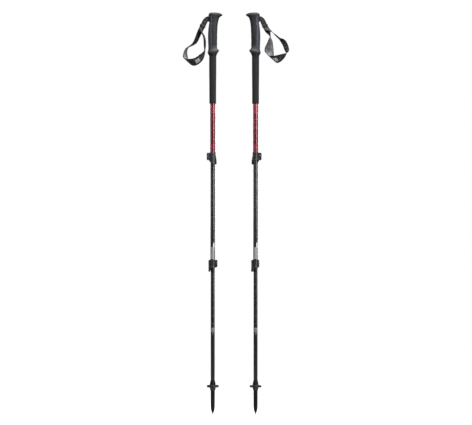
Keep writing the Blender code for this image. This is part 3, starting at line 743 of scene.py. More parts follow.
def grip_cap(pole):
    # a seat under the cap goes down into the grip, so that no light shows between the two
    seat = [(z, 0.0, 14.0, 30.0, 12.5, 2.05) for z in (1388.3, 1388.75)]
    bm = skin([egg(row, 144) for row in seat + smooth_rows(CAP_ROWS, 6)])

    def oval(reach):
        return [(5.2 + 8.4 * reach * c, 4.6 * reach * s) for c, s in around(72)]

    # a shallow dish in the top for the badge
    bm = carve(bm, (), [prism(oval(1.05), 1398.9, 1403)])
    piece(pole, "cap", bm, "cap", "upper", ["grip_cap"], 30)
    shells = [prism(oval(1.0), 1398.95, 1399.5)]
    for size in (0.84, 0.48):
        ring = bmesh.new()
        corners = bar(size - 0.10, size, 1399.4, 1399.8)
        bridge(ring, [[ring.verts.new((*p, z)) for p in oval(reach)] for reach, z in corners], True)
        shells.append(outward(ring))
    piece(pole, "cap_badge", merge(shells), "badge", "upper", (), 30)


def foam_extension(pole):
    top, low, inner = GRIP_BOTTOM - GAP, 1082.0, UPPER_R + GAP
    thin, thick = 11.9, 12.6
    spigot = 1.2  # goes up into the grip, so that no light shows between the two
    points = [(inner, top + spigot), (thick - 2.0, top + spigot), (thick - 2.0, top),
              (thick - 0.8, top, 0.5), (thick, top - 1.2, 0.8)]
    for k in range(1, 30):
        z = top - 1.2 - (top - low - 3.6) * k / 30
        share = (z - low) / (top - low)
        points.append((thin + (thick - thin) * limit((share - 0.25) / 0.5), z))
    points += [(thin, low + 2.4, 1.4), (thin - 0.5, low + 0.7, 0.8), (thin - 1.3, low, 0.5), (inner, low)]

    def uneven(a, r, z):
        place = Vector((math.cos(a) * 1.1, math.sin(a) * 1.1, z * 0.03))
        return 0.0 if r < 10.0 else 0.10 * noise.noise(place)

    bm = turn(rounded(points, 0.4, 3), 96, True, uneven)
    piece(pole, "foam", bm, "foam", "upper", ["foam_extension"], 50)


# ---- straps ----
# Each row is a place along the strap's middle line and the vector from there to its second edge.

LEFT_STEM = [
    (-15.6, 0, 1378.0, 0.0, 0, -9.0),
    (-20.6, 0, 1376.6, 2.4, 0, -8.6),
    (-25.4, 0, 1371.3, 6.9, 0, -5.8),
    (-29.4, 0, 1364.4, 8.0, 0, -4.2),
    (-33.2, 0, 1356.9, 8.0, 0, -4.2),
    (-37.4, 0, 1348.6, 8.0, 0, -4.1),
    (-41.8, 0, 1340.0, 8.0, 0, -4.0),
]
LEFT_OUTER = [
    (-46.5, 0.2, 1330.0, 7.6, 2.4, -3.6),
    (-51.5, 1.5, 1318.5, 6.8, 4.6, -3.0),
    (-56.5, 3.0, 1306.5, 6.3, 5.8, -2.9),
    (-61.8, 4.2, 1297.0, 5.0, 6.9, -2.8),
    (-69.5, 5.2, 1289.6, 2.5, 8.3, -2.0),
    (-79.0, 6.0, 1283.6, 0.8, 8.8, -1.3),
    (-85.8, 6.6, 1279.4, 0.5, 9.0, -0.8),
]
LEFT_INNER = [
    (-40.2, -4.4, 1342.8, 6.8, 3.8, -3.5),
    (-40.3, -8.8, 1336.4, 4.4, 7.4, -1.2),
    (-37.6, -10.4, 1330.0, 2.4, 8.5, 0.2),
    (-33.5, -8.8, 1322.6, 2.8, 8.4, 0.8),
    (-29.8, -6.2, 1313.6, 3.2, 8.3, 0.5),
    (-28.0, -3.8, 1302.0, 3.5, 8.2, 0.2),
    (-27.7, -1.8, 1289.0, 3.5, 8.2, 0.0),
    (-27.7, 0.0, 1277.0, 2.6, 8.5, 0.0),
    (-27.7, 0.7, 1271.0, 1.6, 8.8, 0.0),
]
LEFT_PAD = [
    (-86.2, 6.8, 1279.0, 0.8, 9.3, -1.0),
    (-92.3, 8.0, 1271.5, 2.6, 11.5, -2.2),
    (-95.4, 8.3, 1260.0, 5.6, 12.2, -0.5),
    (-95.3, 7.6, 1247.5, 8.0, 12.0, -3.2),
    (-93.6, 4.8, 1238.3, 10.2, 8.8, -7.4),
    (-90.2, 0.0, 1232.0, 11.3, 3.0, -10.6),
    (-82.3, -5.4, 1227.2, 9.6, 4.4, -11.0),
    (-71.5, -8.6, 1226.0, 6.0, 7.8, -11.6),
    (-60.0, -9.2, 1228.4, 4.5, 8.5, -11.6),
    (-48.5, -7.5, 1235.4, 5.0, 9.2, -10.4),
    (-39.5, -4.6, 1244.8, 5.6, 10.2, -8.0),
    (-32.6, -1.8, 1255.2, 3.8, 10.2, -3.8),
    (-28.6, 0.4, 1264.6, 1.6, 9.6, -1.2),
    (-27.8, 1.0, 1270.2, 1.0, 9.3, -0.2),
]
RIGHT_STEM = [
    (15.6, 0, 1378.0, 0.0, 0, 9.0),
    (20.2, 0, 1376.5, 2.8, 0, 8.5),
    (24.4, 0, 1370.9, 7.2, 0, 5.4),
    (27.6, 0, 1364.3, 8.1, 0, 3.9),
    (30.9, 0, 1357.5, 8.1, 0, 4.0),
    (34.4, 0, 1350.2, 8.0, 0, 4.2),
    (38.4, 0, 1342.8, 7.6, 0, 4.8),
    (43.2, 0, 1335.6, 7.0, 0, 5.6),
]
RIGHT_OUTER = [
    (47.6, 1.2, 1327.2, 4.4, 7.0, 3.2),
    (50.6, 2.2, 1319.0, 1.8, 8.8, 0.9),
    (51.2, 3.6, 1313.0, 1.6, 8.8, 0.4),
]
RIGHT_INNER = [
    (39.0, -4.2, 1343.6, 7.4, 2.6, 4.4),
    (45.4, -8.6, 1339.0, 4.8, 7.0, 3.2),
    (53.0, -10.0, 1334.6, 2.2, 8.5, 1.6),
    (61.8, -7.6, 1328.0, 0.4, 8.9, 0.2),
    (72.0, -4.6, 1319.1, -0.8, 8.9, -1.0),
    (83.5, -2.2, 1309.3, -1.4, 8.7, -1.6),
    (91.5, -1.0, 1303.4, -4.0, 6.6, -4.5),
    (98.2, -0.4, 1296.8, -6.8, 3.0, -5.0),
    (103.6, 0.0, 1287.4, -8.3, 1.5, -3.0),
    (107.3, 0.0, 1277.0, -8.9, 1.0, -1.0),
    (109.0, 0.0, 1269.4, -8.2, 3.6, 0.2),
    (109.2, -0.5, 1262.8, -4.6, 7.6, 0.8),
    (107.6, -1.1, 1257.7, 0.2, 8.9, -0.2),
]
RIGHT_PAD = [
    (51.3, 3.9, 1312.2, 2.0, 9.1, 0.3),
    (51.3, 6.2, 1305.0, 6.5, 9.0, 0.8),
    (50.2, 8.4, 1295.0, 10.0, 8.0, 1.2),
    (48.3, 10.2, 1284.0, 13.4, 6.2, 0.6),
    (47.4, 10.8, 1273.0, 15.8, 4.2, -0.2),
    (47.8, 10.0, 1261.6, 15.8, 3.6, -3.2),
    (51.6, 6.2, 1249.4, 14.0, 3.2, -8.6),
    (57.3, 0.0, 1239.4, 12.2, 2.4, -11.2),
    (65.5, -6.2, 1236.2, 10.4, 4.4, -12.2),
    (74.5, -9.2, 1237.2, 8.0, 8.4, -11.4),
    (84.0, -8.8, 1241.0, 6.4, 9.4, -10.0),
    (93.0, -6.8, 1246.4, 5.4, 9.8, -7.0),
    (100.6, -4.0, 1251.6, 3.4, 9.8, -4.0),
    (106.9, -1.4, 1256.9, 0.6, 9.3, -0.6),
]
# split: how many rows of the stem the outer and the inner run take; keeper: its x and z, and the
# way that the strap goes there; patch: the first and last fine row of the pad under the label;
# seed: where the pad's unevenness starts in the noise
STRAPS = {
    "left": {
        "stem": LEFT_STEM, "outer": LEFT_OUTER, "inner": LEFT_INNER, "pad": LEFT_PAD,
        "split": (7, 6), "keeper": (-35.2, 1352.9, -0.452, -0.892), "patch": (79, 93), "seed": 3.0,
    },
    "right": {
        "stem": RIGHT_STEM, "outer": RIGHT_OUTER, "inner": RIGHT_INNER, "pad": RIGHT_PAD,
        "split": (8, 6), "keeper": (32.6, 1353.9, 0.432, -0.902), "patch": (77, 92), "seed": 11.0,
    },
}


def ribbon_rows(rows, per):
    """Along a ribbon: its middle, the vector to its edge, its face normal, and the way along so far."""
    fine = smooth_rows(rows, per)
    mid = [Vector(r[:3]) for r in fine]
    out, gone = [], 0.0
    for i, row in enumerate(fine):
        edge = Vector(row[3:])
        along = (mid[min(i + 1, len(mid) - 1)] - mid[max(i - 1, 0)]).normalized()
        gone += (mid[i] - mid[i - 1]).length if i else 0.0
        out.append((mid[i], edge, along.cross(edge).normalized(), gone))
    return out


def pad_rows(pole):
    return ribbon_rows(STRAPS[pole.side]["pad"], 10)


def band(rows, section, kinds=(0,), wobble=None):
    """Sweeps a closed section along a ribbon. section gives (share of the half width, height
    along the normal) and kinds the material of each of its sides."""
    rings, places = [], []
    for c, w, n, gone in rows:
        ring = []
        for share, height in section:
            lift = height + (wobble(share, gone) if wobble else 0.0) * (1 if height > 0 else 0.6)
            ring.append(c + w * share + n * lift)
            places.append((share * w.length * MM, gone * MM))
        rings.append(ring)
    bm = skin(rings)
    layer = bm.loops.layers.uv.new("strip")
    bm.verts.index_update()
    for i, face in enumerate(bm.faces):
        face.material_index = kinds[i % len(kinds)]
        for loop in face.loops:
            loop[layer].uv = places[loop.vert.index]
    return bm


def both_ways(upper):
    """A closed section from its upper half: the same points again, turned half a turn."""
    return upper + [(-s, -h) for s, h in upper]


def web_section():
    """Flat webbing with rounded, slightly thicker edges."""
    half, columns, top = WEB_T / 2, 12, []
    for k in range(columns + 1):
        share = 0.955 * (2 * k / columns - 1)
        rim = max(0.0, (abs(share) - 0.80) / 0.155)
        top.append((share, half * (0.86 + 0.14 * math.sin(math.pi / 2 * min(1.0, rim * 1.2)))))
    return both_ways(top + [(0.99, half * 0.55), (1.0, 0.0), (0.99, -half * 0.55)])


def web_stations(pole):
    """The one length of webbing: from the pad's far end up to the grip, round the pin in the
    wedge, and back down to the pad's near end."""
    spec, out = STRAPS[pole.side], pole.out
    far, near = (
        [(x, y + layer, *rest) for x, y, *rest in spec["stem"][:count]] + spec[run]
        for count, layer, run in zip(spec["split"], (LAYER_Y, -LAYER_Y), ("outer", "inner")))
    spin = [math.radians(90 - 30 * k) for k in range(7)]
    bend = [(PIN_X - 2.35 * math.cos(a), 2.35 * math.sin(a)) for a in spin]
    loop = [(out * x, y, PIN_Z, 0, 0, out * 7.9) for x, y in [(12.9, 1.75), *bend, (12.9, -1.75)]]
    sewn = []
    for row in smooth_rows(spec["pad"], 3):
        edge = Vector(row[3:])
        sewn.append((*row[:3], *(edge * (8.8 / edge.length))))
    return sewn[2:0:-1] + far[::-1] + loop + near + sewn[-2:-4:-1]


def webbing(pole):
    bm = band(ribbon_rows(web_stations(pole), 7), web_section())
    item = piece(pole, "strap_webbing", bm, "webbing", None,
                 ["strap_outer_run", "strap_inner_run", "strap_anchor"], 60, pole.straight)
    first, last = (((pole.x + pole.out * (HINGE_X + way)) * MM, 0, PIN_Z * MM) for way in (-2.6, 2.6))
    pole.name("wedge")
    pole.name("strap")
    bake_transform(item)
    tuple(first)
    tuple(last)


def pad_section():
    """The pad's section: a crowned middle, a sewn channel and a rolled binding on each side.
    Heights above 0 are the lining's side."""
    lining = [(0.14, 1.30), (0.40, 1.26), (0.62, 1.16), (0.74, 0.95), (0.80, 0.62)]
    bind = [(0.83, 0.66), (0.87, 0.86), (0.92, 0.90), (0.97, 0.72), (1.0, 0.30)]
    outer = [(0.80, -0.62), (0.74, -0.92), (0.62, -1.06), (0.40, -1.12), (0.14, -1.14)]
    right = lining + bind + [(s, -h) for s, h in bind[::-1]] + outer
    ring = [(s, h * PAD_SCALE) for s, h in right + [(-s, h) for s, h in right[::-1]]]
    return ring[-5:] + ring[:-5], [1] * 9 + [2] * 11 + [0] * 9 + [2] * 11


def pad(pole):
    seed = STRAPS[pole.side]["seed"]

    def uneven(share, gone):
        """Shallow cross creases and a slow roll of the foam."""
        crease = noise.noise(Vector((gone * 0.16, share * 0.5, seed)))
        slow = noise.noise(Vector((gone * 0.05, share * 1.3, seed + 7.0)))
        return (0.22 * crease + 0.16 * slow) * (1 - share * share)

    bm = band(pad_rows(pole), *pad_section(), uneven)
    item = piece(pole, "wrist_pad_cover", bm, "pad lining binding", "strap",
                 ["wrist_pad"], 70, pole.straight)
    smooth = item.modifiers.new("Smooth", "SUBSURF")
    smooth.levels = smooth.render_levels = 1


def stitch(bm, centre, along, out, length, radius):
    """One sewn stitch: a short thread bar that dips at both ends."""
    side = along.cross(out).normalized()
    rings = []
    for t, size, lift in ((-0.5, 0.45, -0.5), (-0.32, 0.95, 0.25), (0.0, 1.0, 0.5), (0.32, 0.95, 0.25),
                          (0.5, 0.45, -0.5)):
        c = centre + along * (length * t) + out * (radius * lift)
        rings.append([c + (side * x + out * y) * radius * size for x, y in around(6)])
    skin(rings, bm)


def seam(bm, rows, share, height, pitch=2.6, length=1.9, radius=0.19, ends=(6.0, 6.0)):
    """A line of stitches along a ribbon, at one share of its half width."""
    line = [(c + w * share + n * height, n if height > 0 else -n) for c, w, n, _ in rows]
    steps = list(zip(line, line[1:]))
    stop = sum((b - a).length for (a, _), (b, _) in steps) - ends[1]
    at, gone = ends[0], 0.0
    for (a, n0), (b, n1) in steps:
        span = (b - a).length
        while at <= gone + span and at < stop:
            t = (at - gone) / span
            stitch(bm, a.lerp(b, t), (b - a).normalized(), n0.lerp(n1, t).normalized(), length, radius)
            at += pitch
        gone += span


def pad_stitching(pole):
    rows, bm = pad_rows(pole), bmesh.new()
    for share in (-0.815, 0.815):
        for height in (0.70, -0.70):
            seam(bm, rows, share, height * PAD_SCALE)
    # a box of stitches where each end of the webbing is sewn into the pad
    for part in (rows[3:12], rows[-12:-3]):
        for share in (-0.52, 0.52):
            seam(bm, part, share, -1.10 * PAD_SCALE, 2.0, 1.5, 0.2, (0.4, 0.2))
        for c, w, n, _ in (part[0], part[-1]):
            for k in range(7):
                at = c + w * (0.15 * k - 0.45) - n * 1.12 * PAD_SCALE
                stitch(bm, at, w.normalized(), -n, 1.3, 0.2)
    piece(pole, "pad_stitching", outward(bm), "black_thread", "strap", (), None, pole.straight)


def pad_label(pole):
    """The woven label on the pad's outer face, with folded ends and a stitched border."""
    first, last = STRAPS[pole.side]["patch"]
    rows = pad_rows(pole)[first:last + 1]
    middle = (rows[0][3] + rows[-1][3]) / 2
    shown = [(c - n * (PAD_T / 2 + 0.06), w * 0.56, n, gone - middle) for c, w, n, gone in rows]
    section = both_ways([(-0.97, 0.30), (-0.5, 0.34), (0.0, 0.36), (0.5, 0.34), (0.97, 0.30), (1.0, 0.0)])
    piece(pole, "pad_label", band(shown, section), "patch", "strap", ["pad_patch"],
          50, pole.straight)
    bm = bmesh.new()
    for share in (-0.86, 0.86):
        seam(bm, shown, share, -0.36, 1.5, 1.15, 0.13, (0.9, 0.6))
    piece(pole, "label_stitching", outward(bm), "pale_thread", "strap", (), None,
          pole.straight)


def strap_keeper(pole):
    """A moulded loop round both layers of the webbing."""
    x, z, tx, tz = STRAPS[pole.side]["keeper"]
    along, side = Vector((tx, 0, tz)).normalized(), Vector((-tz, 0, tx)).normalized()
    wide, deep = WEB_HALF + 0.35, LAYER_Y + WEB_T / 2 + 0.35
    half, wall, corner = 3.0, 1.2, 0.8
    section = rounded(bar(-half, half, 0.0, wall), 0.45, 3, True)
    bm, rings = bmesh.new(), []
    for cx, cy, start in ((1, 1, 0), (-1, 1, 90), (-1, -1, 180), (1, -1, 270)):
        middle = Vector((x, cy * (deep - corner), z)) + side * cx * (wide - corner)
        for k in range(7):
            a = math.radians(start + 15 * k)
            out = side * math.cos(a) + Vector((0, math.sin(a), 0))
            places = [middle + out * (corner + lift) + along * end for end, lift in section]
            rings.append([bm.verts.new(p) for p in places])
    bridge(bm, rings, True)
    piece(pole, "keeper", outward(bm), "keeper", "strap", ["strap_keeper"], 50,
          pole.straight)


# ---- shafts ----

def tube(pole, node, radius, span, paint, body):
    points = bar(radius - TUBE_WALL, radius, *span)
    bm = turn(rounded(points, 0.15, 2, True), 96, True)
    face_map(bm, "strip", round_and_up(radius))
    piece(pole, node + "_tube", bm, paint, body, [node], 40)


def wrapped(outlines, radius, facing=-90.0, height=0.07):
    """Flat outlines of (distance round the tube, height) laid on a tube as thin printed film."""
    bm = bmesh.new()
    for outline in outlines:
        bm.faces.new([bm.verts.new((s, 0, z)) for s, z in outline])
    places = [v.co.x for v in bm.verts]
    step = 0.7  # so that the film follows the tube's curve
    for k in range(math.ceil(min(places) / step), math.ceil(max(places) / step)):
        bmesh.ops.bisect_plane(bm, geom=bm.verts[:] + bm.edges[:] + bm.faces[:], dist=1e-5,
                               plane_co=(k * step, 0, 0), plane_no=(1, 0, 0))
    grown = bmesh.ops.extrude_face_region(bm, geom=bm.faces[:])
    for v in grown["geom"]:
        if isinstance(v, bmesh.types.BMVert):
            v.co.y = 1.0
    for v in bm.verts:
        reach = radius + (height if v.co.y > 0.5 else -0.03)
        a = math.radians(facing) + v.co.x / radius
        v.co = Vector((reach * math.cos(a), reach * math.sin(a), v.co.z))
    return outward(bm)


def digits(text, size, x, z):
    """The outlines of some figures, centred on (x, z), as filled flat polygons."""
    curve = bpy.data.curves.new("figures", "FONT")
    curve.body, curve.size, curve.resolution_u = text, size, 3
    curve.align_x, curve.align_y = "CENTER", "CENTER"
    item = link(bpy.data.objects.new("figures", curve))
    mesh = bpy.data.meshes.new_from_object(item)
    flat = [(v.co.x + x, v.co.y + z) for v in mesh.vertices]
    out = [[flat[i] for i in face.vertices] for face in mesh.polygons]
    bpy.data.objects.remove(item)
    bpy.data.curves.remove(curve)
    bpy.data.meshes.remove(mesh)
    return out


def scale_marks(first, step, count, label, gap):
    """A length scale: a figure at every mark, a long tick beside it and short ticks between."""
    out = []
    for k in range(count):
        z = first - step * k
        out += digits(str(label - gap * k), 4.6, 0.6, z)
        out.append(bar(-6.4, -4.2, z - 0.35, z + 0.35))
        for j in range(1, 5 if k < count - 1 else 1):
            t = z - step * j / 5
            out.append(bar(-6.4, -5.2, t - 0.22, t + 0.22))
    return out


def blade(x, low, high, wide):
    """A pointed leaf that thins into a long line."""
    left, right, leaf = [], [], 0.36
    for k in range(25):
        t = k / 24
        z = high - (high - low) * t
        body = math.sin(math.pi * t / leaf) ** 0.8 if t < leaf else 0.0
        half = (1.45 + (wide - 1.0) * body) * (1 if k else 0.05)
        left.append((x - half * 0.75, z))
        right.append((x + half, z))
    return left + right[::-1]


def graphics(pole):
    """The printed scales and the generic flash and ring on the tubes, on both faces."""
    twist = 0.0 if pole.side == "left" else 9.0
    flash = [blade(3.6, 537.0, 598.5, 3.0)]
    for k in range(11):
        z = 541.0 + 3.7 * k
        flash.append([(-5.6, z), (0.4, z + 1.1), (0.4, z + 3.3), (-5.6, z + 2.2)])
    mark = [[(-2.6, 290.2), (0.0, 296.6), (0.0, 293.4)], [(0.0, 296.6), (2.6, 290.2), (0.0, 293.4)],
            bar(-2.4, 2.4, 279.0, 280.0)]
    ring = around(32)
    for (c, s), (d, t) in zip(ring, ring[1:] + ring[:1]):
        mark.append([(5.6 * c, 293 + 7.6 * s), (5.6 * d, 293 + 7.6 * t),
                     (4.4 * d, 293 + 6.2 * t), (4.4 * c, 293 + 6.2 * s)])
    rings = [bar(-7.0, 7.0, 1027.4, 1028.2), bar(-7.0, -4.4, 996.4, 998.2), bar(2.0, 3.4, 995.6, 999.0)]
    prints = (
        ("middle_flash", flash, MIDDLE_R, "print", "middle"),
        ("middle_scale", scale_marks(845.0, 25.0, 6, 120, 5), MIDDLE_R, "scale", "middle"),
        ("lower_mark", mark, LOWER_R, "print", "lower"),
        ("lower_scale", scale_marks(480.0, 27.5, 7, 130, 5), LOWER_R, "scale", "lower"),
        ("upper_rings", rings, UPPER_R, "red_print", "upper"),
    )
    for facing, face in ((twist - 90.0, "_front"), (twist + 90.0, "_back")):
        for name, outlines, radius, paint, body in prints:
            piece(pole, name + face, wrapped(outlines, radius, facing), paint, body, sharp=30,
                  matrix=pole.straight)


# ---- clamps ----

Y_AXIS, Z_AXIS = (0, 1, 0), (0, 0, 1)

# sweep from the cam in degrees, distance from the axis, lower edge, upper edge, half thickness
LEVER_ROWS = [
    (42.0, 18.0, 1.6, 26.6, 1.3),
    (52.0, 16.9, -2.6, 27.2, 1.3),
    (65.0, 15.9, -8.0, 27.4, 1.25),
    (78.0, 15.3, -11.5, 27.4, 1.2),
    (91.0, 14.9, -13.4, 27.2, 1.2),
    (104.0, 14.6, -13.6, 26.6, 1.2),
    (116.0, 14.2, -13.6, 25.6, 1.2),
    (128.0, 13.6, -13.6, 23.0, 1.15),
    (140.0, 13.1, -13.5, 17.0, 1.1),
    (152.0, 12.7, -13.4, 9.6, 1.1),
    (164.0, 12.5, -13.2, 4.4, 1.1),
    (175.0, 12.6, -12.6, 2.6, 1.1),
]
# the same for the panel in the arm's face: sweep, distance, lower edge, upper edge
PANEL_ROWS = [
    (56, 15.9, 2.0, 23.4),
    (80, 14.7, -2.6, 23.4),
    (104, 14.0, -4.4, 22.6),
    (122, 13.4, -4.6, 19.6),
]


def across(sweep, places):
    """Places (distance from the tube's axis, height) as points at a sweep from the cam."""
    a = math.radians(180.0 + sweep)
    return [(r * math.cos(a), r * math.sin(a), z) for r, z in places]


def collar(base, radius, outer, inner):
    """A split ring with two ears that hold the cam and its screw."""
    top, step = base + COLLAR_H, base + 11.5
    points = [
        (outer, top, 0.2), (radius, top, 0.8), (radius, top - 3.4, 0.2), (radius - 0.5, top - 3.9, 0.2),
        (radius - 0.5, base + 4.9, 0.2), (radius, base + 4.4, 0.2),
        (radius, base, 0.8), (inner, base, 0.2), (inner, step, 0.1), (outer, step, 0.1),
    ]
    lug = [(-outer - 0.4, base + 1.5, 0.1), (-outer - 0.4, base + 27.5, 0.1),
           (-21.0, base + 27.5, 4.5), (-21.0, base + 1.5, 4.5)]
    upright = Matrix.Rotation(math.radians(90), 4, "X")
    ears = moved(prism(rounded(lug, 4.5, 8, True), -4.2, 4.2), upright)
    cuts = [box((-26, -1.2, base - 5), (-inner + 2.5, 1.2, top + 5)),
            rod((SCREW_X, 0, base + SCREW_H), Y_AXIS, 1.6, 20, 32),
            rod((SCREW_X, 5.2, base + SCREW_H), Y_AXIS, 3.7, 2.6, 40)]
    # lightening pockets in the ears, above and below the screw
    for z0, z1 in ((base + 4.2, base + 9.0), (base + 20.0, base + 24.8)):
        for y0, y1 in ((3.2, 6.0), (-6.0, -3.2)):
            cuts.append(box((-18.8, y0, z0), (-13.6, y1, z1), 0.5))
    return carve(turn(rounded(points, 0.2, 3, True), 96, True), [ears], cuts)


def lever(base):
    """The cam and its arm, with a shallow panel in its face and a hanging tab with ribs."""
    x, y = BARREL
    z = base + SCREW_H
    cam = rod((x, y + 0.5, z), Z_AXIS, 4.6, 25.8, 56, 2.4)
    arm = []
    for sweep, far, low, high, half in smooth_rows(LEVER_ROWS, 6):
        ring = rounded(bar(-half, half, base + low, base + high), 0.9, 3, True)
        arm.append(across(sweep, [(far + d, h) for d, h in ring]))
    sector = [(x, y)]
    for degrees in range(56, 273, 8):
        a = math.radians(degrees)
        sector.append((x + 9.0 * math.cos(a), y + 9.0 * math.sin(a)))
    panel = []
    for sweep, far, low, high in smooth_rows(PANEL_ROWS, 8):
        ring = rounded(bar(far + 0.85, far + 4, low, high), 0.5, 2, True)
        panel.append(across(sweep, [(r, base + h) for r, h in ring]))
    cuts = [rod((x, y, z), Z_AXIS, 3.1, 60, 40), prism(sector, base + 12.3, base + 16.7), skin(panel)]
    for k in range(4):
        h = base - 11.4 + 2.1 * k
        rib = []
        for sweep in range(96, 173, 4):
            far = 14.6 - 2.1 * limit((sweep - 104) / 60.0)
            rib.append(across(sweep, [(far + 0.75, h), (far + 3.0, h - 0.45), (far + 3.0, h + 0.45)]))
        cuts.append(skin(rib))
    return carve(cam, [skin(arm)], cuts)


def cam_pin(base):
    x, y = BARREL
    z = base + SCREW_H
    cuts = [rod((x, y, z), Y_AXIS, 1.6, 20, 32)]
    cuts += [rod((x, y, end), Z_AXIS, 1.1, 1.6, 24) for end in (base + 2.2, base + 26.8)]
    return carve(rod((x, y, z), Z_AXIS, 2.8, 24.6, 48, 0.5), (), cuts)


def tension_screw(base):
    """A threaded shank and a slotted pan head."""
    z = base + SCREW_H
    shank = [(0, 5.1), (1.3, 5.1)]
    for k in range(26):
        shank += [(1.3, 4.4 - 0.6 * k), (1.08, 4.1 - 0.6 * k)]
    shank += [(1.0, -11.4), (0, -11.6)]
    head = [(0, 7.1), (1.8, 7.05), (2.7, 6.7), (3.2, 6.0), (3.2, 4.6), (2.9, 4.5), (0, 4.5)]
    place = swung((SCREW_X, 0, z), Y_AXIS)
    slot = box((SCREW_X - 5, 6.2, z - 0.5), (SCREW_X + 5, 9, z + 0.5))
    return carve(moved(turn(rounded(head, 0.25, 2), 48), place), [moved(turn(shank, 32), place)], [slot])


def clamp(pole, name, matrix, size, bores, body):
    base, radius = size
    for made, bm, node, paint, holder, slot, sharp, edge in (
        ("_collar", collar(base, radius, *bores), "_clamp", "clamp", body, "clamp_plastic", 32, 0.22),
        ("_lever_arm", lever(base), "_lever", "lever", name + "_lever", "lever_plastic", 32, 0.15),
        ("_cam_pin", cam_pin(base), "_barrel", "steel", body, "steel", 30, 0),
        ("_tension_screw", tension_screw(base), "_screw", "steel", name + "_screw", "steel", 30, 0),
    ):
        item = piece(pole, name + made, bm, paint, holder, [name + node], sharp, matrix)
        if edge:
            soften(item, edge)


# ---- ground end ----

def flex_tip(pole):
    """Ribbed ferrule round the tube, threaded neck, and the tapering plastic tip."""
    bore, end, spigot = LOWER_R + 0.4, 104.0, LOWER_R - 1.0
    points = [(0, 140.0), (spigot - 0.6, 140.0), (spigot, 139.2), (spigot, end), (bore, end),
              (bore, 116.5), (7.9, 116.5, 0.3)]
    for k in range(4):
        z, r = 115.0 - 3.0 * k, 8.1 + 0.62 * k
        points += [(r + 0.5, z - 0.8, 0.35), (r + 0.2, z - 1.9, 0.3)]
    points += [(10.3, 102.9, 0.3), (9.9, 102.3), (6.9, 102.3)]
    for z in (99.0, 93.0):
        points += [(6.9, z, 0.2), (7.3, z - 1.0, 0.3), (6.9, z - 2.0, 0.2)]
    points += [
        (6.9, 84.0), (7.4, 81.0, 0.6), (7.4, 60.0, 4.0), (7.3, 40.0, 4.0), (7.1, 25.0, 4.0),
        (6.5, 16.5, 3.0), (4.8, 9.5, 1.5), (3.2, 5.6), (2.7, 5.0), (2.3, 5.0), (2.3, 17.3), (0, 17.3),
    ]

    def flutes(a, r, z):
        fade = 0.0 if r < 6.0 else limit(min((z - 24.0) / 8.0, (74.0 - z) / 6.0))
        return -0.35 * fade * max(0.0, math.cos(3 * a + math.pi / 2)) ** 3

    fine, outline = [], rounded(points, 0.12, 3)
    for (r0, z0), (r1, z1) in zip(outline, outline[1:]):
        cuts = max(1, int(abs(z1 - z0) / 2.5)) if r0 > 5 and 20 < z1 < 80 else 1
        fine += [(r0 + (r1 - r0) * k / cuts, z0 + (z1 - z0) * k / cuts) for k in range(cuts)]
    bm = turn([*fine, outline[-1]], 84, False, flutes)
    piece(pole, "tip_ferrule", bm, "tip", "lower", ["flex_tip"], 35)


def basket(pole):
    """A threaded hub and a webbed disc with a rim, ribs and drain holes."""
    bore = 7.7
    points = [
        (bore, 101.9), (9.2, 101.9), (9.9, 101.2), (10.0, 98.4, 0.8),
        (18.2, 97.4, 0.5), (18.8, 100.0), (20.3, 100.2, 0.6), (21.0, 99.2, 0.6), (21.0, 93.6, 0.6),
        (20.3, 92.8, 0.5), (18.8, 93.2), (18.4, 95.0, 0.4), (10.4, 95.6, 0.8), (10.2, 90.0, 1.5),
        (9.0, 82.0, 0.4), (bore, 81.6),
    ]

    def scallop(a, r, z):
        return -0.32 * (0.5 + 0.5 * math.cos(12 * a)) if r > 20.2 else 0.0

    disc = turn(rounded(points, 0.25, 3, True), 120, True, scallop)
    holes = [rod((14.2 * c, 14.2 * s, 96), Z_AXIS, 2.9, 20, 36) for c, s in around(12)[1::2]]
    ribs = [moved(box((9.6, -0.7, 96.6), (18.6, 0.7, 99.0), 0.3), Matrix.Rotation(TURN * k / 6, 4, "Z"))
            for k in range(6)]
    item = piece(pole, "basket_disc", carve(carve(disc, (), holes), ribs), "basket", "basket",
                 ["basket"], 35)
    soften(item, 0.15, 50)


def carbide_tip(pole):
    """A hard metal point with a scalloped crown."""
    points = [(0, 17.0), (2.0, 17.0), (2.0, 3.6), (2.3, 3.2), (2.3, 1.4), (1.5, 0.0), (0.9, 0.0),
              (0.6, 0.5), (0, 0.6)]

    def crown(a, r, z):
        return -0.16 * max(0.0, math.cos(6 * a)) if 1.2 < z < 3.3 and r > 2.1 else 0.0

    bm = turn(rounded(points, 0.15, 2), 48, False, crown)
    piece(pole, "carbide_point", bm, "carbide", "lower", ["carbide_tip"], 30)


def finish_cad(pole):
    """The hidden and half-hidden CAD pieces that stay as they are, in their own materials."""
    for node, paint in (("strap_wedge", "wedge"), ("strap_pin", "steel"), ("middle_bushing", "bushing"),
                        ("lower_bushing", "bushing")):
        item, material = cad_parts[pole.name(node)], PAINTS[paint].material
        if not item.material_slots:
            item.data.materials.append(material)
        for place in item.material_slots:
            place.material = material
    soften(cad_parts[pole.name("strap_wedge")], 0.3)


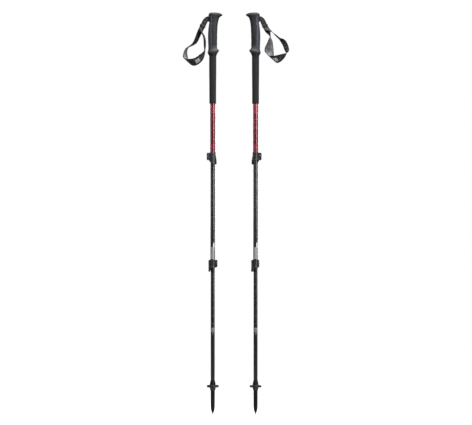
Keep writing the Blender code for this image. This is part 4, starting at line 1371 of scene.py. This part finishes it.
def build(pole):
    grip_body(pole)
    grip_cap(pole)
    foam_extension(pole)
    webbing(pole)
    pad(pole)
    pad_stitching(pole)
    pad_label(pole)
    strap_keeper(pole)
    tube(pole, "upper_shaft", UPPER_R, (895.3, 1356.0), "red", "upper")
    tube(pole, "middle_shaft", MIDDLE_R, (521.3, 979.0), "black", "middle")
    tube(pole, "lower_shaft", LOWER_R, (104.3, 572.0), "low_black", "lower")
    graphics(pole)
    clamp(pole, "upper", pole.frame, UPPER_CLAMP, (UPPER_R + GAP, MIDDLE_R + GAP), "upper")
    clamp(pole, "lower", pole.turned(LOWER_CLAMP_TURN[pole.side]), LOWER_CLAMP,
          (MIDDLE_R + GAP, LOWER_R + GAP), "middle")
    flex_tip(pole)
    basket(pole)
    carbide_tip(pole)
    finish_cad(pole)


build(Pole("left", 0.0))
build(Pole("right", 180.0))


# ---- room ----

def floor():
    """A pale floor that fades into the white surround."""
    bm = bmesh.new()
    bmesh.ops.create_circle(bm, cap_ends=True, segments=96, radius=2.2)
    mesh = plain(bm)
    mesh.name = "Floor"
    p = Paint("floor_white", (0.93, 0.93, 0.93), 0.7)
    x, y, _ = p.split(p.place())
    p.put(p.shader.inputs["Alpha"], p.ramp(p.reach(x, y), 0.25, 1.7, 0.45, 0.0))
    p.rough(p.noise(40.0), 0.3, 0.7, 0.65, 0.8)
    mesh.materials.append(p.material)
    item = link(bpy.data.objects.new("Floor", mesh))
    item.location = (0, 0, -0.0006)


def area(name, place, aim, size, power, colour=(1, 1, 1)):
    data = bpy.data.lights.new(name, "AREA")
    data.shape = "RECTANGLE"
    data.size, data.size_y = size
    data.energy, data.color = power, colour
    lamp = link(bpy.data.objects.new(name, data))
    lamp.location = place
    lamp.visible_camera = False
    lamp.rotation_euler = (Vector(aim) - Vector(place)).to_track_quat("-Z", "Y").to_euler()


def studio():
    area("Key", (2.3, -2.4, 1.3), (0, 0, 0.75), (0.9, 2.6), 92)
    area("Fill", (-2.9, -1.1, 1.1), (0, 0, 0.75), (0.5, 2.4), 16)
    area("Top", (0.35, -0.6, 3.3), (0, 0, 1.0), (1.8, 1.2), 190)
    area("Rim", (-1.6, 2.6, 1.6), (0, 0, 0.8), (0.8, 2.2), 24)
    area("Back", (0.5, 3.2, 1.5), (0, 0, 0.75), (1.0, 2.4), 70)
    world = bpy.data.worlds.new("Surround")
    world.use_nodes = True
    tree = world.node_tree
    back = tree.nodes["Background"]
    seen = tree.nodes.new("ShaderNodeLightPath")
    level = tree.nodes.new("ShaderNodeMapRange")
    tree.links.new(seen.outputs["Is Camera Ray"], level.inputs["Value"])
    level.inputs["To Min"].default_value, level.inputs["To Max"].default_value = 0.10, 1.0
    tree.links.new(level.outputs[0], back.inputs["Strength"])
    back.inputs["Color"].default_value = (1, 1, 1, 1)
    bpy.context.scene.world = world
    bpy.context.scene.view_settings.view_transform = "Standard"


floor()
studio()
